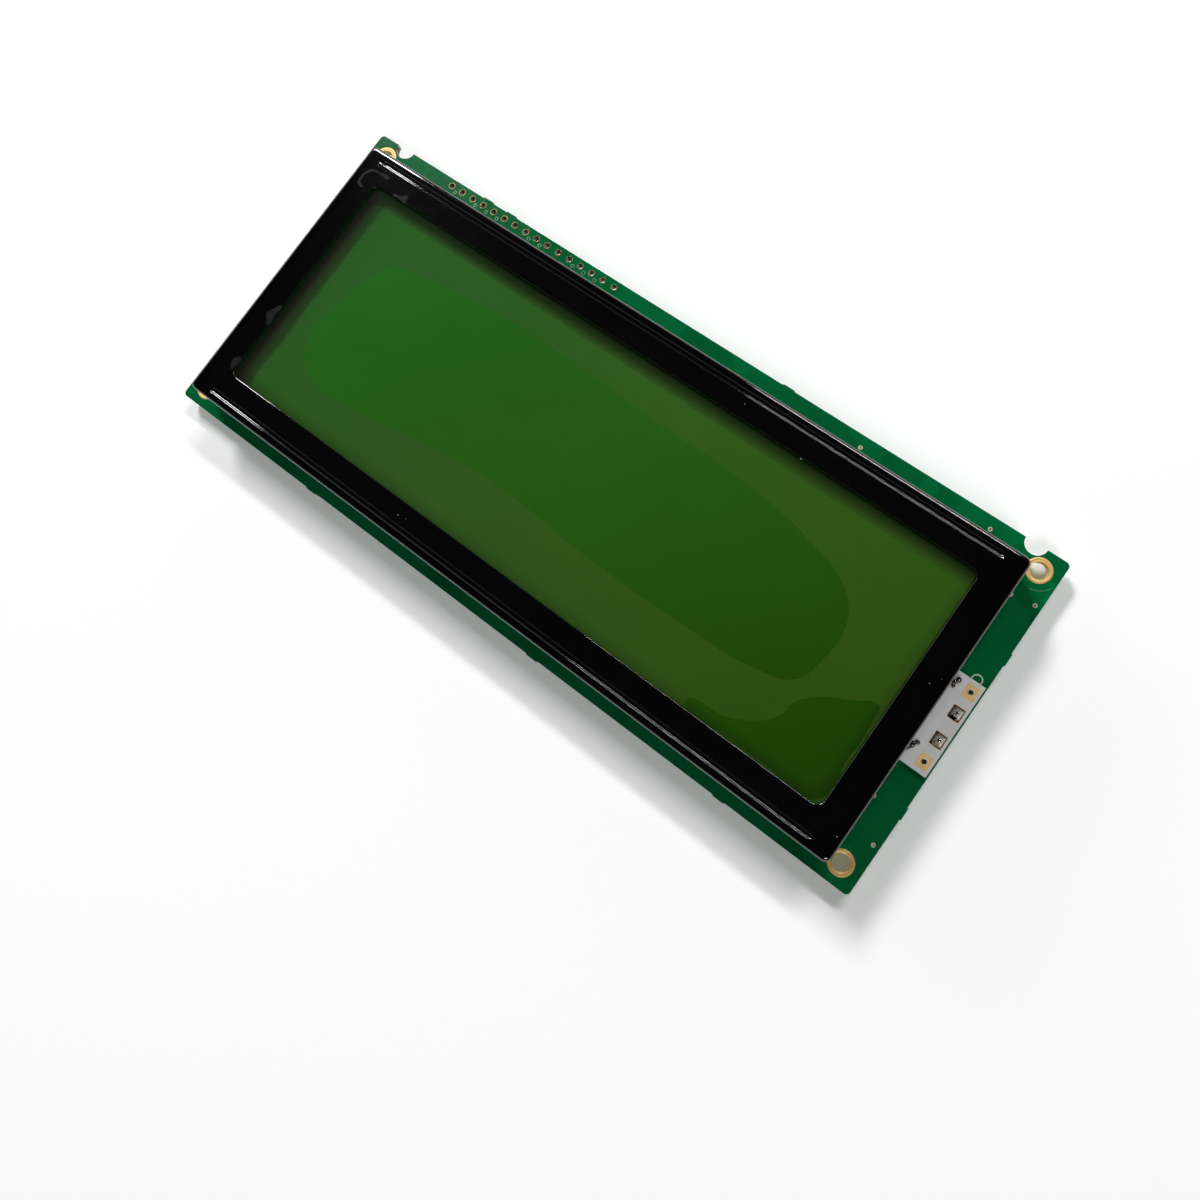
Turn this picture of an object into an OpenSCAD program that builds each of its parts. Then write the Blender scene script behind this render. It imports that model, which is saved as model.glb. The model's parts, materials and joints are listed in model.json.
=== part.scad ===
// Character display module: a liquid crystal cell over a lamp unit, clamped to a
// circuit board by a pressed steel bezel whose tabs are twisted behind the board.
// Lengths are in millimetres. The module lies on its back with the tab ends at z = 0.
// x runs along the long side, y towards the pin header and z out of the display face.

/* [Viewing window] */
// Length of the window in the bezel
window_l = 123.5; // [100:0.5:140]
// Width of the window in the bezel
window_w = 43; // [38:0.5:60]
// Radius of the window's corners
window_r = 1.5; // [0.6:0.1:3]

/* [Bezel] */
// Width of the bezel's face at its short ends
border_end = 5.4; // [5.2:0.1:8]
// Width of the bezel's face along its long sides
border_side = 6.05; // [5.9:0.05:9]
// Height of the bezel's face above the board
bezel_rise = 9; // [7.5:0.1:12]
// Thickness of the steel sheet
sheet_t = 0.5; // [0.3:0.05:0.6]
// Outer radius of the bend round the face
bend_r = 0.7; // [0.65:0.05:1.1]
// Outer radius of the bezel's corners, seen from the front
bezel_corner_r = 1.2; // [1.2:0.1:2.6]
// Distance of the pressed beads from the bezel's long edges
bead_inset = 1.85; // [1.75:0.05:2.4]
// Width of a bead
bead_w = 1; // [0.8:0.05:1.15]
// Depth of a bead, which sets how far the glass lies under the face
bead_depth = 0.25; // [0.2:0.01:0.35]
// Distance of the bead ends from the bezel's short ends
bead_end = 4; // [3:0.1:12]

/* [Bezel tabs] */
// Width of a tab
tab_w = 3; // [2:0.1:4]
// Length of the tabs behind the board
tab_drop = 2.2; // [2:0.1:3]
// Angle that the tab ends are twisted by
tab_twist = 35; // [10:1:60]
// Number of tabs on each long side
tab_count = 5; // [2:1:8]
// Distance of the outer tabs from the bezel's short ends
tab_end = 12; // [8:0.5:20]
// Distance of the tabs in the short sides from the bezel's middle
side_tab_y = 17; // [14:0.5:20]
// Room round a tab in its slot
slot_gap = 0.15; // [0.05:0.05:0.3]

/* [Circuit board] */
// Board left open at each end of the bezel
end_margin = 5.85; // [5.8:0.05:9]
// Board left open on the header side
header_margin = 4.85; // [4.4:0.05:8]
// Board left open on the side away from the header
foot_margin = 2.55; // [1.6:0.05:6]
// Thickness of the board
board_t = 1.6; // [1:0.1:2.4]
// Radius of the board's corners
board_r = 0.8; // [0.4:0.1:2]
// Radius of the round notches in the header edge
notch_r = 1.95; // [1.2:0.05:2]
// Distance of each notch's centre from the board's end
notch_inset = 6; // [5.9:0.1:8]
// Length of the break-off stubs on the board's edges
stub_l = 2.2; // [1:0.1:4]
// Height of the break-off stubs
stub_h = 0.2; // [0.1:0.05:0.5]
// Thickness of the copper lands
land_t = 0.06; // [0.03:0.01:0.1]
// Thickness of the plating in the mounting holes and vias
plating_t = 0.06; // [0.03:0.01:0.1]

/* [Mounting holes] */
// Distance of the hole centres from the board's edges
mount_inset = 3.5; // [3:0.05:3.55]
// Diameter of a plated mounting hole
mount_hole_d = 2.8; // [2.4:0.1:3.2]
// Diameter of the land round a mounting hole
mount_land_d = 4.3; // [3.8:0.1:4.4]

/* [Pin header] */
// Number of header holes
header_pins = 16; // [8:1:18]
// Distance between header holes
header_pitch = 2.54; // [2.1:0.01:2.8]
// Distance of the first header hole from the board's end
header_start = 18.6; // [14:0.1:30]
// Distance of the header holes from the board's edge
header_inset = 1.3; // [1.1:0.05:2.2]
// Diameter of a header hole
header_hole_d = 1; // [0.8:0.05:1.2]
// Diameter of the land round a header hole
header_land_d = 1.35; // [1.25:0.05:1.8]

/* [Vias] */
// Diameter of a via's hole
via_hole_d = 0.4; // [0.2:0.05:0.5]
// Diameter of a via's land
via_land_d = 0.75; // [0.6:0.05:0.9]
// Distance of the vias between header holes from the header row
via_drop = 0.75; // [0.7:0.05:1.5]
// Distance of the end vias from the board's end
via_end_inset = 1.1; // [0.8:0.1:1.6]
// Distance of the end vias from the middle of the board
via_end_y = 22.6; // [20:0.1:24]
// Distance of the wall vias from the bezel's end
via_wall_gap = 0.8; // [0.6:0.1:1.4]
// Distance of the upper wall via from the middle of the board
via_wall_high = 22; // [20:0.1:23]
// Distance of the lower wall via from the middle of the board
via_wall_low = 16.4; // [15:0.1:20]
// Distance of the margin vias from the bezel's upper side
via_margin_gap = 2.75; // [1:0.05:3.5]
// Distance of the near margin via from the board's end
via_near = 13.1; // [10:0.1:20]
// Distance of the far margin via from the board's end
via_far = 37.4; // [30:0.1:45]

/* [Liquid crystal cell] */
// Thickness of each glass plate
glass_t = 1.1; // [0.5:0.1:1.3]
// Thickness of each polarizer
polarizer_t = 0.2; // [0.1:0.01:0.25]
// Width by which the polarizers pass under the window's edge
polarizer_lap = 1; // [0.5:0.1:1.6]
// Gap between the two glass plates
cell_gap = 0.05; // [0.02:0.01:0.1]
// Width of the seal between the plates
seal_w = 1.2; // [0.8:0.1:1.6]
// Distance of the seal from the rear plate's edge
seal_inset = 0.3; // [0.1:0.1:0.6]
// Room between the cell and the bezel's short walls
cell_end_gap = 0.9; // [0.4:0.1:1.4]
// Room between the cell and the bezel's long walls
cell_side_gap = 0.8; // [0.4:0.1:0.9]
// Width of the contact ledges of the front plate
ledge_w = 3; // [2.6:0.1:3.2]
// Thickness of the elastomer strips
strip_t = 2.2; // [1.6:0.1:2.4]
// Distance of the strip ends from the cell's ends
strip_end = 2; // [0.5:0.5:6]
// Thickness of the protective film
film_t = 0.1; // [0.05:0.01:0.15]
// Distance of the film's edge from the bezel's short ends
film_end = 1.8; // [1.5:0.1:3]
// Room between the film and the beads and window edges
film_gap = 0.1; // [0.05:0.05:0.3]
// Radius of the film's corners
film_r = 3; // [1:0.5:6]

/* [Lamp unit] */
// Thickness of the lamp board
lamp_t = 1; // [0.6:0.1:1.6]
// Room between the lamp unit and the elastomer strips
lamp_side_gap = 0.25; // [0.1:0.05:0.5]
// Distance of the lamp unit's ends from the cell's ends
lamp_end = 2.5; // [1:0.5:3.5]
// Wall of the lamp case
case_wall = 1.5; // [1.2:0.1:2.2]
// Wall of the rim that holds the diffuser
case_rim = 0.7; // [0.4:0.1:0.9]
// Thickness of the diffuser
diffuser_t = 0.8; // [0.4:0.1:1.5]
// Room round the diffuser in its rim
diffuser_gap = 0.1; // [0.05:0.05:0.2]
// Length of a lamp chip
chip_l = 1.6; // [1:0.1:2.4]
// Width of a lamp chip
chip_w = 0.8; // [0.6:0.1:1.6]
// Height of a lamp chip
chip_h = 0.7; // [0.4:0.1:1.2]
// Distance between lamp chips along the case
chip_pitch_x = 10; // [6:0.5:16]
// Distance between rows of lamp chips
chip_pitch_y = 10.5; // [7:0.5:14]

/* [Lamp tongue] */
// Width of the tongue that comes out under the bezel
tongue_w = 16.8; // [16:0.1:22]
// Distance of the tongue's end from the board's end
tongue_inset = 0.4; // [0.1:0.05:0.6]
// Room round the tongue in the bezel's wall
tongue_gap = 0.3; // [0.1:0.1:0.8]
// Length of the lands on the tongue, measured towards its end
pad_l = 2.1; // [1.6:0.05:2.4]
// Width of the lands on the tongue
pad_w = 2.4; // [1.6:0.05:2.6]
// Distance of the land centres from the tongue's end
pad_inset = 1.5; // [1.4:0.05:2]
// Distance between the two inner lands
pad_inner = 5; // [3.5:0.1:7]
// Distance between the two outer lands
pad_outer = 13; // [12.2:0.1:13.2]
// Diameter of the holes in the lands
pad_hole_d = 0.8; // [0.75:0.05:1.2]
// Diameter of a lamp pin
pin_d = 0.7; // [0.4:0.05:0.7]
// Length of a pin behind the board
pin_tail = 1.3; // [0.8:0.1:1.7]
// Height of the solder on the tongue
solder_h = 1.1; // [0.7:0.1:1.4]
// Width of the solder's top
solder_top_d = 0.9; // [0.8:0.1:1.2]
// Height of the solder cones behind the board
cone_h = 1; // [0.5:0.1:1.3]
// Diameter of the solder cones at the board
cone_d = 2.2; // [1.6:0.1:3]
// Diameter of a solder lump beside the bezel
lump_d = 1; // [0.6:0.1:1.2]
// Distance of the solder lumps from the bezel's wall
lump_gap = 0.3; // [0.1:0.05:0.5]
// Distance of the upper lump from the middle of the tongue
lump_high = 6.5; // [5.5:0.1:7]
// Distance of the lower lump from the middle of the tongue
lump_low = 5.3; // [4.5:0.1:6.5]

/* [Parts behind the board] */
// Diameter of the dome over the controller
glob_d = 15; // [12:0.5:18]
// Diameter of the domes over the drivers
driver_glob_d = 13; // [10:0.5:18]
// Height of the domes
glob_h = 1.5; // [1:0.1:1.9]
// Distance between the domes
glob_pitch = 40; // [25:1:45]
// Side of a bare die
die_w = 3.4; // [2.5:0.1:4.5]
// Thickness of a bare die
die_t = 0.4; // [0.3:0.05:0.6]
// Length of a chip resistor or capacitor
part_l = 2; // [1.6:0.1:3.2]
// Width of a chip resistor or capacitor
part_w = 1.25; // [0.8:0.05:1.6]
// Thickness of a chip resistor
resistor_t = 0.5; // [0.4:0.05:0.7]
// Thickness of a chip capacitor
capacitor_t = 0.9; // [0.5:0.05:1.3]
// Length of a lamp resistor
lamp_resistor_l = 5; // [3.2:0.1:6.4]
// Width of a lamp resistor
lamp_resistor_w = 2.5; // [1.6:0.1:3.2]
// Length of the metal end caps
end_cap_l = 0.4; // [0.2:0.05:0.6]
// Distance between neighbouring chip parts
part_pitch = 3; // [2.4:0.1:4]
// Distance of the chip parts from the middle of the board
part_row_y = 14; // [12:0.5:18]

/* [Hidden] */
$fn = 48;

// Plan sizes, from the window outwards
bezel_l = window_l + 2 * border_end;
bezel_w = window_w + 2 * border_side;
board_l = bezel_l + 2 * end_margin;
board_w = bezel_w + header_margin + foot_margin;
bezel_y = (foot_margin - header_margin) / 2;

// Levels, from the table up
back_z = tab_drop;
front_z = back_z + board_t;
face_z = front_z + bezel_rise;
under_z = face_z - sheet_t;
front_glass_z = under_z - bead_depth - glass_t;
film_floor_z = front_glass_z + glass_t + polarizer_t;
rear_glass_z = front_glass_z - cell_gap - glass_t;
case_top_z = rear_glass_z - polarizer_t;
lamp_z = front_z + lamp_t;
pad_z = lamp_z + land_t;
pin_top_z = pad_z + solder_h - land_t;

// The cell and the lamp unit, from the bezel inwards
cell_l = bezel_l - 2 * (sheet_t + cell_end_gap);
front_w = bezel_w - 2 * (sheet_t + cell_side_gap);
rear_w = front_w - 2 * ledge_w;
polarizer_l = window_l + 2 * polarizer_lap;
polarizer_w = window_w + 2 * polarizer_lap;
strip_y = (rear_w + ledge_w) / 2;
strip_l = cell_l - 2 * strip_end;
lamp_l = cell_l - 2 * lamp_end;
lamp_w = 2 * (strip_y - strip_t / 2 - lamp_side_gap);
seal_l = cell_l - 2 * seal_inset;
seal_span = rear_w - 2 * seal_inset;

// Beads and the film between them
bead_l = bezel_l - 2 * bead_end;
bead_y = bezel_w / 2 - bead_inset;
film_l = bezel_l - 2 * film_end;
film_w = 2 * (bead_y - bead_w / 2 - film_gap);

// Places of the tabs: x, y and turn, from the middle of the bezel
tab_span = bezel_l - 2 * tab_end;
long_tabs = [
    for (side = [-1, 1], i = [0 : tab_count - 1])
        [tab_span * (i / (tab_count - 1) - 0.5), side * (bezel_w - sheet_t) / 2, 0]
];
side_tabs = [
    for (end = [-1, 1], side = [-1, 1])
        [end * (bezel_l - sheet_t) / 2, side * side_tab_y, 90]
];
tab_spots = concat(long_tabs, side_tabs);
tab_neck = 0.3;
tab_slices = 4;

// Places of the holes in the board
mount_x = board_l / 2 - mount_inset;
mount_y = board_w / 2 - mount_inset;
mount_spots = [for (sx = [-1, 1], sy = [-1, 1]) [sx * mount_x, sy * mount_y]];
header_y = board_w / 2 - header_inset;
header_x = header_start - board_l / 2;
header_spots = [for (i = [0 : header_pins - 1]) [header_x + i * header_pitch, header_y]];

// Vias: between header holes, beside the bezel's end, and in the header margin
gaps_with_via = [for (i = [0, 2, 3, 4, 7, 8, 11, 12, 13]) if (i < header_pins - 1) i];
pin_vias = [for (i = gaps_with_via) [header_x + (i + 0.5) * header_pitch, header_y - via_drop]];
end_vias = [for (y = [via_end_y, -via_end_y]) [board_l / 2 - via_end_inset, y]];
wall_vias = [for (y = [via_wall_high, -via_wall_low]) [bezel_l / 2 + via_wall_gap, y]];
margin_via_y = bezel_y + bezel_w / 2 + via_margin_gap;
margin_vias = [for (inset = [via_near, via_far]) [board_l / 2 - inset, margin_via_y]];
via_spots = concat(pin_vias, end_vias, wall_vias, margin_vias);

// Places of the break-off stubs along the board's edges
top_stubs = [-46.5, -41, 20];
foot_stubs = [-40, 11, 49];
end_stubs = [13, -16];

// Places of the lands on the tongue
tongue_end = board_l / 2 - tongue_inset;
pad_x = tongue_end - pad_inset;
pin_spots = [for (side = [-1, 1]) [pad_x, bezel_y + side * pad_inner / 2]];
spare_spots = [for (side = [-1, 1]) [pad_x, bezel_y + side * pad_outer / 2]];
pad_spots = concat(pin_spots, spare_spots);
lump_x = (bezel_l + lump_d) / 2 + lump_gap;

// Lamp chips in rows inside the case
chip_columns = floor((lamp_l - 2 * case_wall - chip_l) / chip_pitch_x);
chip_rows = floor((lamp_w - 2 * case_wall - chip_w) / chip_pitch_y);

// Parts behind the board
glob_y = -4;
driver_x = [0, glob_pitch];
bias_count = 6;
bias_x = -20;
bias_spots = [for (i = [0 : bias_count - 1]) [bias_x + i * part_pitch, part_row_y]];
capacitor_count = 3;
capacitor_x = 15;
capacitor_spots = [for (i = [0 : capacitor_count - 1]) [capacitor_x + i * part_pitch, part_row_y]];
lamp_resistor_x = pad_x - 11;
lamp_resistor_pitch = 6;
lamp_resistor_spots = [
    for (side = [-1, 1])
        [lamp_resistor_x, bezel_y + side * lamp_resistor_pitch / 2]
];

// Outlines

module round_rect(l, w, r) {
    square([l - 2 * r, w], center = true);
    square([l, w - 2 * r], center = true);
    for (sx = [-1, 1], sy = [-1, 1])
        translate([sx * (l / 2 - r), sy * (w / 2 - r)])
            circle(r);
}

module plate(l, w, t) {
    translate([-l / 2, -w / 2, 0])
        cube([l, w, t]);
}

module window_outline(inset) {
    round_rect(window_l - 2 * inset, window_w - 2 * inset, window_r - inset);
}

// Puts its children at the middle of the bezel, on the level z

module at_bezel(z) {
    translate([0, bezel_y, z])
        children();
}

module at_spots(spots) {
    for (spot = spots)
        translate([spot[0], spot[1], 0])
            children();
}

module at_tabs() {
    for (spot = tab_spots)
        translate([spot[0], bezel_y + spot[1], 0])
            rotate(spot[2])
                children();
}

// Circuit board

module board_outline() {
    difference() {
        union() {
            round_rect(board_l, board_w, board_r);
            for (x = top_stubs)
                translate([x - stub_l / 2, 0])
                    square([stub_l, board_w / 2 + stub_h]);
            for (x = foot_stubs)
                translate([x - stub_l / 2, -board_w / 2 - stub_h])
                    square([stub_l, board_w / 2 + stub_h]);
            for (y = end_stubs)
                translate([0, y - stub_l / 2])
                    square([board_l / 2 + stub_h, stub_l]);
        }
        for (side = [-1, 1])
            translate([side * (board_l / 2 - notch_inset), board_w / 2])
                circle(notch_r);
        at_spots(mount_spots)
            circle(mount_hole_d / 2 + plating_t);
        at_spots(header_spots)
            circle(header_hole_d / 2);
        at_spots(via_spots)
            circle(via_hole_d / 2 + plating_t);
        at_spots(pad_spots)
            circle(pad_hole_d / 2);
        at_tabs()
            square([tab_w + 2 * slot_gap, sheet_t + 2 * slot_gap], center = true);
    }
}

module circuit_board() {
    color("#0b6b34")
        translate([0, 0, back_z])
            linear_extrude(board_t)
                board_outline();
}

// Plated hole: a land on each face of the board, joined by the barrel in the hole

module eyelet(hole_d, land_d) {
    bore = hole_d / 2;
    barrel = bore + plating_t;
    rim = land_d / 2;
    rotate_extrude()
        polygon([
            [bore, back_z - land_t], [rim, back_z - land_t], [rim, back_z], [barrel, back_z],
            [barrel, front_z], [rim, front_z], [rim, front_z + land_t], [bore, front_z + land_t]
        ]);
}

module mount_hole_lands() {
    color("#d9b36a")
        at_spots(mount_spots)
            eyelet(mount_hole_d, mount_land_d);
}

module header_lands() {
    color("#c9a263")
        at_spots(header_spots)
            for (z = [back_z - land_t, front_z])
                translate([0, 0, z])
                    linear_extrude(land_t)
                        difference() {
                            circle(header_land_d / 2);
                            circle(header_hole_d / 2);
                        }
}

module via_lands() {
    color("#c9b98a")
        at_spots(via_spots)
            eyelet(via_hole_d, via_land_d);
}

// Bezel

module edge_section() {
    square([sheet_t, bezel_rise - bend_r]);
    translate([bend_r, bezel_rise - bend_r])
        intersection() {
            difference() {
                circle(bend_r);
                circle(bend_r - sheet_t);
            }
            translate([-bend_r, 0])
                square(bend_r);
        }
}

module bezel_wall(l, distance) {
    translate([0, -distance, 0])
        rotate([90, 0, 90])
            linear_extrude(l, center = true)
                edge_section();
}

module bezel_corner() {
    translate([bezel_l / 2 - bezel_corner_r, bezel_w / 2 - bezel_corner_r, 0])
        rotate_extrude(angle = 90)
            translate([bezel_corner_r, 0])
                mirror([1, 0])
                    edge_section();
}

module bezel_rim() {
    for (turn = [0, 180])
        rotate(turn) {
            bezel_wall(bezel_l - 2 * bezel_corner_r, bezel_w / 2);
            rotate(90)
                bezel_wall(bezel_w - 2 * bezel_corner_r, bezel_l / 2);
            bezel_corner();
            mirror([1, 0, 0])
                bezel_corner();
        }
}

module bezel_face() {
    linear_extrude(sheet_t)
        difference() {
            round_rect(bezel_l - 2 * bend_r, bezel_w - 2 * bend_r, bezel_corner_r - bend_r);
            window_outline(0);
        }
}

// Half of a bead's section, with its foot sunk a little into what it stands on

module bead_section(w, h) {
    arc_r = (w * w / 4 + h * h) / (2 * h);
    foot = h / 3;
    intersection() {
        translate([0, h - arc_r])
            circle(arc_r);
        translate([0, -foot])
            square([w / 2, h + foot]);
    }
}

module bead(l, w, h) {
    straight = l - w;
    rotate([90, 0, 90])
        linear_extrude(straight, center = true) {
            bead_section(w, h);
            mirror([1, 0])
                bead_section(w, h);
        }
    for (end = [0, 180])
        rotate(end)
            translate([straight / 2, 0, 0])
                rotate(-90)
                    rotate_extrude(angle = 180)
                        bead_section(w, h);
}

// Both beads, hanging from the level z

module bead_pair(z, l, w) {
    for (side = [-1, 1])
        translate([0, side * bead_y, z])
            mirror([0, 0, 1])
                bead(l, w, bead_depth);
}

// Tab: a straight neck through the board, then the twisted end

module tab() {
    translate([0, 0, front_z])
        mirror([0, 0, 1])
            linear_extrude(board_t + tab_neck)
                square([tab_w, sheet_t], center = true);
    translate([0, 0, back_z - tab_neck])
        mirror([0, 0, 1])
            linear_extrude(tab_drop - tab_neck, twist = tab_twist, slices = tab_slices, $fn = 4)
                square([tab_w, sheet_t], center = true);
}

module bezel() {
    color("#101012") {
        difference() {
            at_bezel(0) {
                translate([0, 0, front_z])
                    bezel_rim();
                translate([0, 0, under_z])
                    bezel_face();
                bead_pair(under_z, bead_l + sheet_t, bead_w + sheet_t);
            }
            at_bezel(0)
                bead_pair(face_z, bead_l, bead_w);
            translate([bezel_l / 2 - bend_r, bezel_y - tongue_w / 2 - tongue_gap, front_z - tongue_gap])
                cube([2 * bend_r, tongue_w + 2 * tongue_gap, lamp_t + 2 * tongue_gap]);
        }
        at_tabs()
            tab();
    }
}

// Film on the face, pressed down into the window

module protective_film() {
    wall = film_gap + film_t;
    color([0.85, 0.9, 0.9, 0.3])
        at_bezel(0) {
            translate([0, 0, face_z])
                linear_extrude(film_t)
                    difference() {
                        round_rect(film_l, film_w, film_r);
                        window_outline(wall);
                    }
            translate([0, 0, film_floor_z])
                linear_extrude(face_z + film_t - film_floor_z)
                    difference() {
                        window_outline(film_gap);
                        window_outline(wall);
                    }
            translate([0, 0, film_floor_z])
                linear_extrude(film_t)
                    window_outline(film_gap);
        }
}

// Liquid crystal cell

module front_polarizer() {
    color("#3f7a2a")
        at_bezel(film_floor_z - polarizer_t)
            plate(polarizer_l, polarizer_w, polarizer_t);
}

module front_glass() {
    color([0.6, 0.75, 0.6, 0.5])
        at_bezel(front_glass_z)
            plate(cell_l, front_w, glass_t);
}

module cell_seal() {
    color("#b9b48c")
        at_bezel(rear_glass_z + glass_t)
            linear_extrude(cell_gap)
                difference() {
                    square([seal_l, seal_span], center = true);
                    square([seal_l - 2 * seal_w, seal_span - 2 * seal_w], center = true);
                }
}

module liquid_crystal() {
    color([0.4, 0.6, 0.3, 0.6])
        at_bezel(rear_glass_z + glass_t)
            plate(seal_l - 2 * seal_w, seal_span - 2 * seal_w, cell_gap);
}

module rear_glass() {
    color([0.6, 0.75, 0.6, 0.5])
        at_bezel(rear_glass_z)
            plate(cell_l, rear_w, glass_t);
}

module rear_polarizer() {
    color("#5c8f36")
        at_bezel(case_top_z)
            plate(polarizer_l, polarizer_w, polarizer_t);
}

module connector_strip(side) {
    color("#d8a7a0")
        at_bezel(front_z)
            translate([0, side * strip_y, 0])
                plate(strip_l, strip_t, front_glass_z - front_z);
}

module upper_connector_strip() {
    connector_strip(1);
}

module lower_connector_strip() {
    connector_strip(-1);
}

// Lamp unit

module diffuser() {
    room = 2 * (case_rim + diffuser_gap);
    color("#e9efe0")
        at_bezel(case_top_z - diffuser_t)
            plate(lamp_l - room, lamp_w - room, diffuser_t);
}

module backlight_case() {
    color("#f1f1ec")
        at_bezel(lamp_z)
            difference() {
                plate(lamp_l, lamp_w, case_top_z - lamp_z);
                translate([0, 0, -lamp_t])
                    plate(lamp_l - 2 * case_wall, lamp_w - 2 * case_wall, case_top_z);
                translate([0, 0, case_top_z - lamp_z - diffuser_t])
                    plate(lamp_l - 2 * case_rim, lamp_w - 2 * case_rim, case_top_z);
            }
}

module lamp_board() {
    color("#d9d9dc")
        translate([0, 0, front_z])
            linear_extrude(lamp_t)
                difference() {
                    union() {
                        translate([0, bezel_y])
                            square([lamp_l, lamp_w], center = true);
                        translate([0, bezel_y - tongue_w / 2])
                            square([tongue_end, tongue_w]);
                    }
                    at_spots(pad_spots)
                        circle(pad_hole_d / 2);
                }
}

module lamp_chips() {
    color("#f2e7a0")
        at_bezel(lamp_z)
            for (i = [0 : chip_columns - 1], j = [0 : chip_rows - 1])
                translate([
                    (i - (chip_columns - 1) / 2) * chip_pitch_x,
                    (j - (chip_rows - 1) / 2) * chip_pitch_y,
                    0
                ])
                    plate(chip_l, chip_w, chip_h);
}

module lamp_lands() {
    color("#cda766")
        translate([0, 0, lamp_z])
            linear_extrude(land_t)
                at_spots(pad_spots)
                    difference() {
                        square([pad_l, pad_w], center = true);
                        circle(pad_hole_d / 2);
                    }
}

module lamp_pins() {
    color("#b9b7b0")
        at_spots(pin_spots)
            translate([0, 0, back_z - pin_tail])
                cylinder(h = pin_top_z - back_z + pin_tail, d = pin_d);
}

// Solder: a steep four-sided heap on each inner land, and a cone behind the board

module solder_heap() {
    hull() {
        plate(pad_l, pad_w, land_t);
        cylinder(h = solder_h, d = solder_top_d, $fn = 32);
    }
}

module lamp_pin_solder() {
    color("#b4b2ae")
        at_spots(pin_spots) {
            translate([0, 0, pad_z])
                difference() {
                    solder_heap();
                    translate([0, 0, -land_t])
                        cylinder(h = pin_top_z - pad_z + land_t, d = pin_d);
                }
            translate([0, 0, back_z - cone_h])
                difference() {
                    cylinder(h = cone_h, d1 = solder_top_d, d2 = cone_d);
                    translate([0, 0, -land_t])
                        cylinder(h = cone_h + 2 * land_t, d = pin_d);
                }
        }
}

module solder_lump() {
    lump_r = lump_d / 2;
    intersection() {
        hull() {
            translate([0, lump_r, lump_r / 2])
                sphere(lump_r, $fn = 24);
            translate([lump_r / 2, -lump_r / 2, lump_r / 3])
                sphere(lump_r * 0.7, $fn = 24);
        }
        plate(2 * lump_d, 4 * lump_d, 2 * lump_d);
    }
}

module edge_solder() {
    color("#8f8d8a")
        for (y = [lump_high, -lump_low])
            translate([lump_x, bezel_y + y, lamp_z])
                solder_lump();
}

// Parts behind the board: domes over bare dies, and chip parts

module below_board() {
    translate([0, 0, back_z])
        mirror([0, 0, 1])
            children();
}

module die() {
    plate(die_w, die_w, die_t);
}

module glob_top(d) {
    dome_r = (d * d / 4 + glob_h * glob_h) / (2 * glob_h);
    difference() {
        rotate_extrude()
            intersection() {
                translate([0, glob_h - dome_r])
                    circle(dome_r, $fn = 360);
                square([d / 2, glob_h]);
            }
        die();
    }
}

module controller_die() {
    color("#4a4a55")
        below_board()
            translate([-glob_pitch, glob_y, 0])
                die();
}

module controller_glob_top() {
    color("#17171a")
        below_board()
            translate([-glob_pitch, glob_y, 0])
                glob_top(glob_d);
}

module driver_dies() {
    color("#4a4a55")
        below_board()
            for (x = driver_x)
                translate([x, glob_y, 0])
                    die();
}

module driver_glob_tops() {
    color("#17171a")
        below_board()
            for (x = driver_x)
                translate([x, glob_y, 0])
                    glob_top(driver_glob_d);
}

module chip_body(l, w, t) {
    translate([0, 0, land_t])
        plate(l - 2 * end_cap_l, w, t);
}

module chip_ends(l, w, base, t) {
    for (end = [-1, 1])
        translate([end * (l - end_cap_l) / 2, 0, base])
            plate(end_cap_l, w, t);
}

module bias_resistors() {
    color("#1c1c1e")
        below_board()
            at_spots(bias_spots)
                rotate(90)
                    chip_body(part_l, part_w, resistor_t);
}

module lamp_resistors() {
    color("#1c1c1e")
        below_board()
            at_spots(lamp_resistor_spots)
                chip_body(lamp_resistor_l, lamp_resistor_w, resistor_t);
}

module capacitors() {
    color("#a98b6a")
        below_board()
            at_spots(capacitor_spots)
                rotate(90)
                    chip_body(part_l, part_w, capacitor_t);
}

module chip_end_caps() {
    color("#c4c4c2")
        below_board() {
            at_spots(bias_spots)
                rotate(90)
                    chip_ends(part_l, part_w, land_t, resistor_t);
            at_spots(lamp_resistor_spots)
                chip_ends(lamp_resistor_l, lamp_resistor_w, land_t, resistor_t);
            at_spots(capacitor_spots)
                rotate(90)
                    chip_ends(part_l, part_w, land_t, capacitor_t);
        }
}

module chip_lands() {
    color("#b9b7b0")
        below_board() {
            at_spots(concat(bias_spots, capacitor_spots))
                rotate(90)
                    chip_ends(part_l, part_w, 0, land_t);
            at_spots(lamp_resistor_spots)
                chip_ends(lamp_resistor_l, lamp_resistor_w, 0, land_t);
        }
}

circuit_board();
mount_hole_lands();
header_lands();
via_lands();
bezel();
protective_film();
front_polarizer();
front_glass();
cell_seal();
liquid_crystal();
rear_glass();
rear_polarizer();
upper_connector_strip();
lower_connector_strip();
diffuser();
backlight_case();
lamp_board();
lamp_chips();
lamp_lands();
lamp_pins();
lamp_pin_solder();
edge_solder();
controller_die();
controller_glob_top();
driver_dies();
driver_glob_tops();
bias_resistors();
lamp_resistors();
capacitors();
chip_end_caps();
chip_lands();
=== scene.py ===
import json
import math

import bmesh
import bpy
from mathutils import Matrix, Vector


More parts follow.
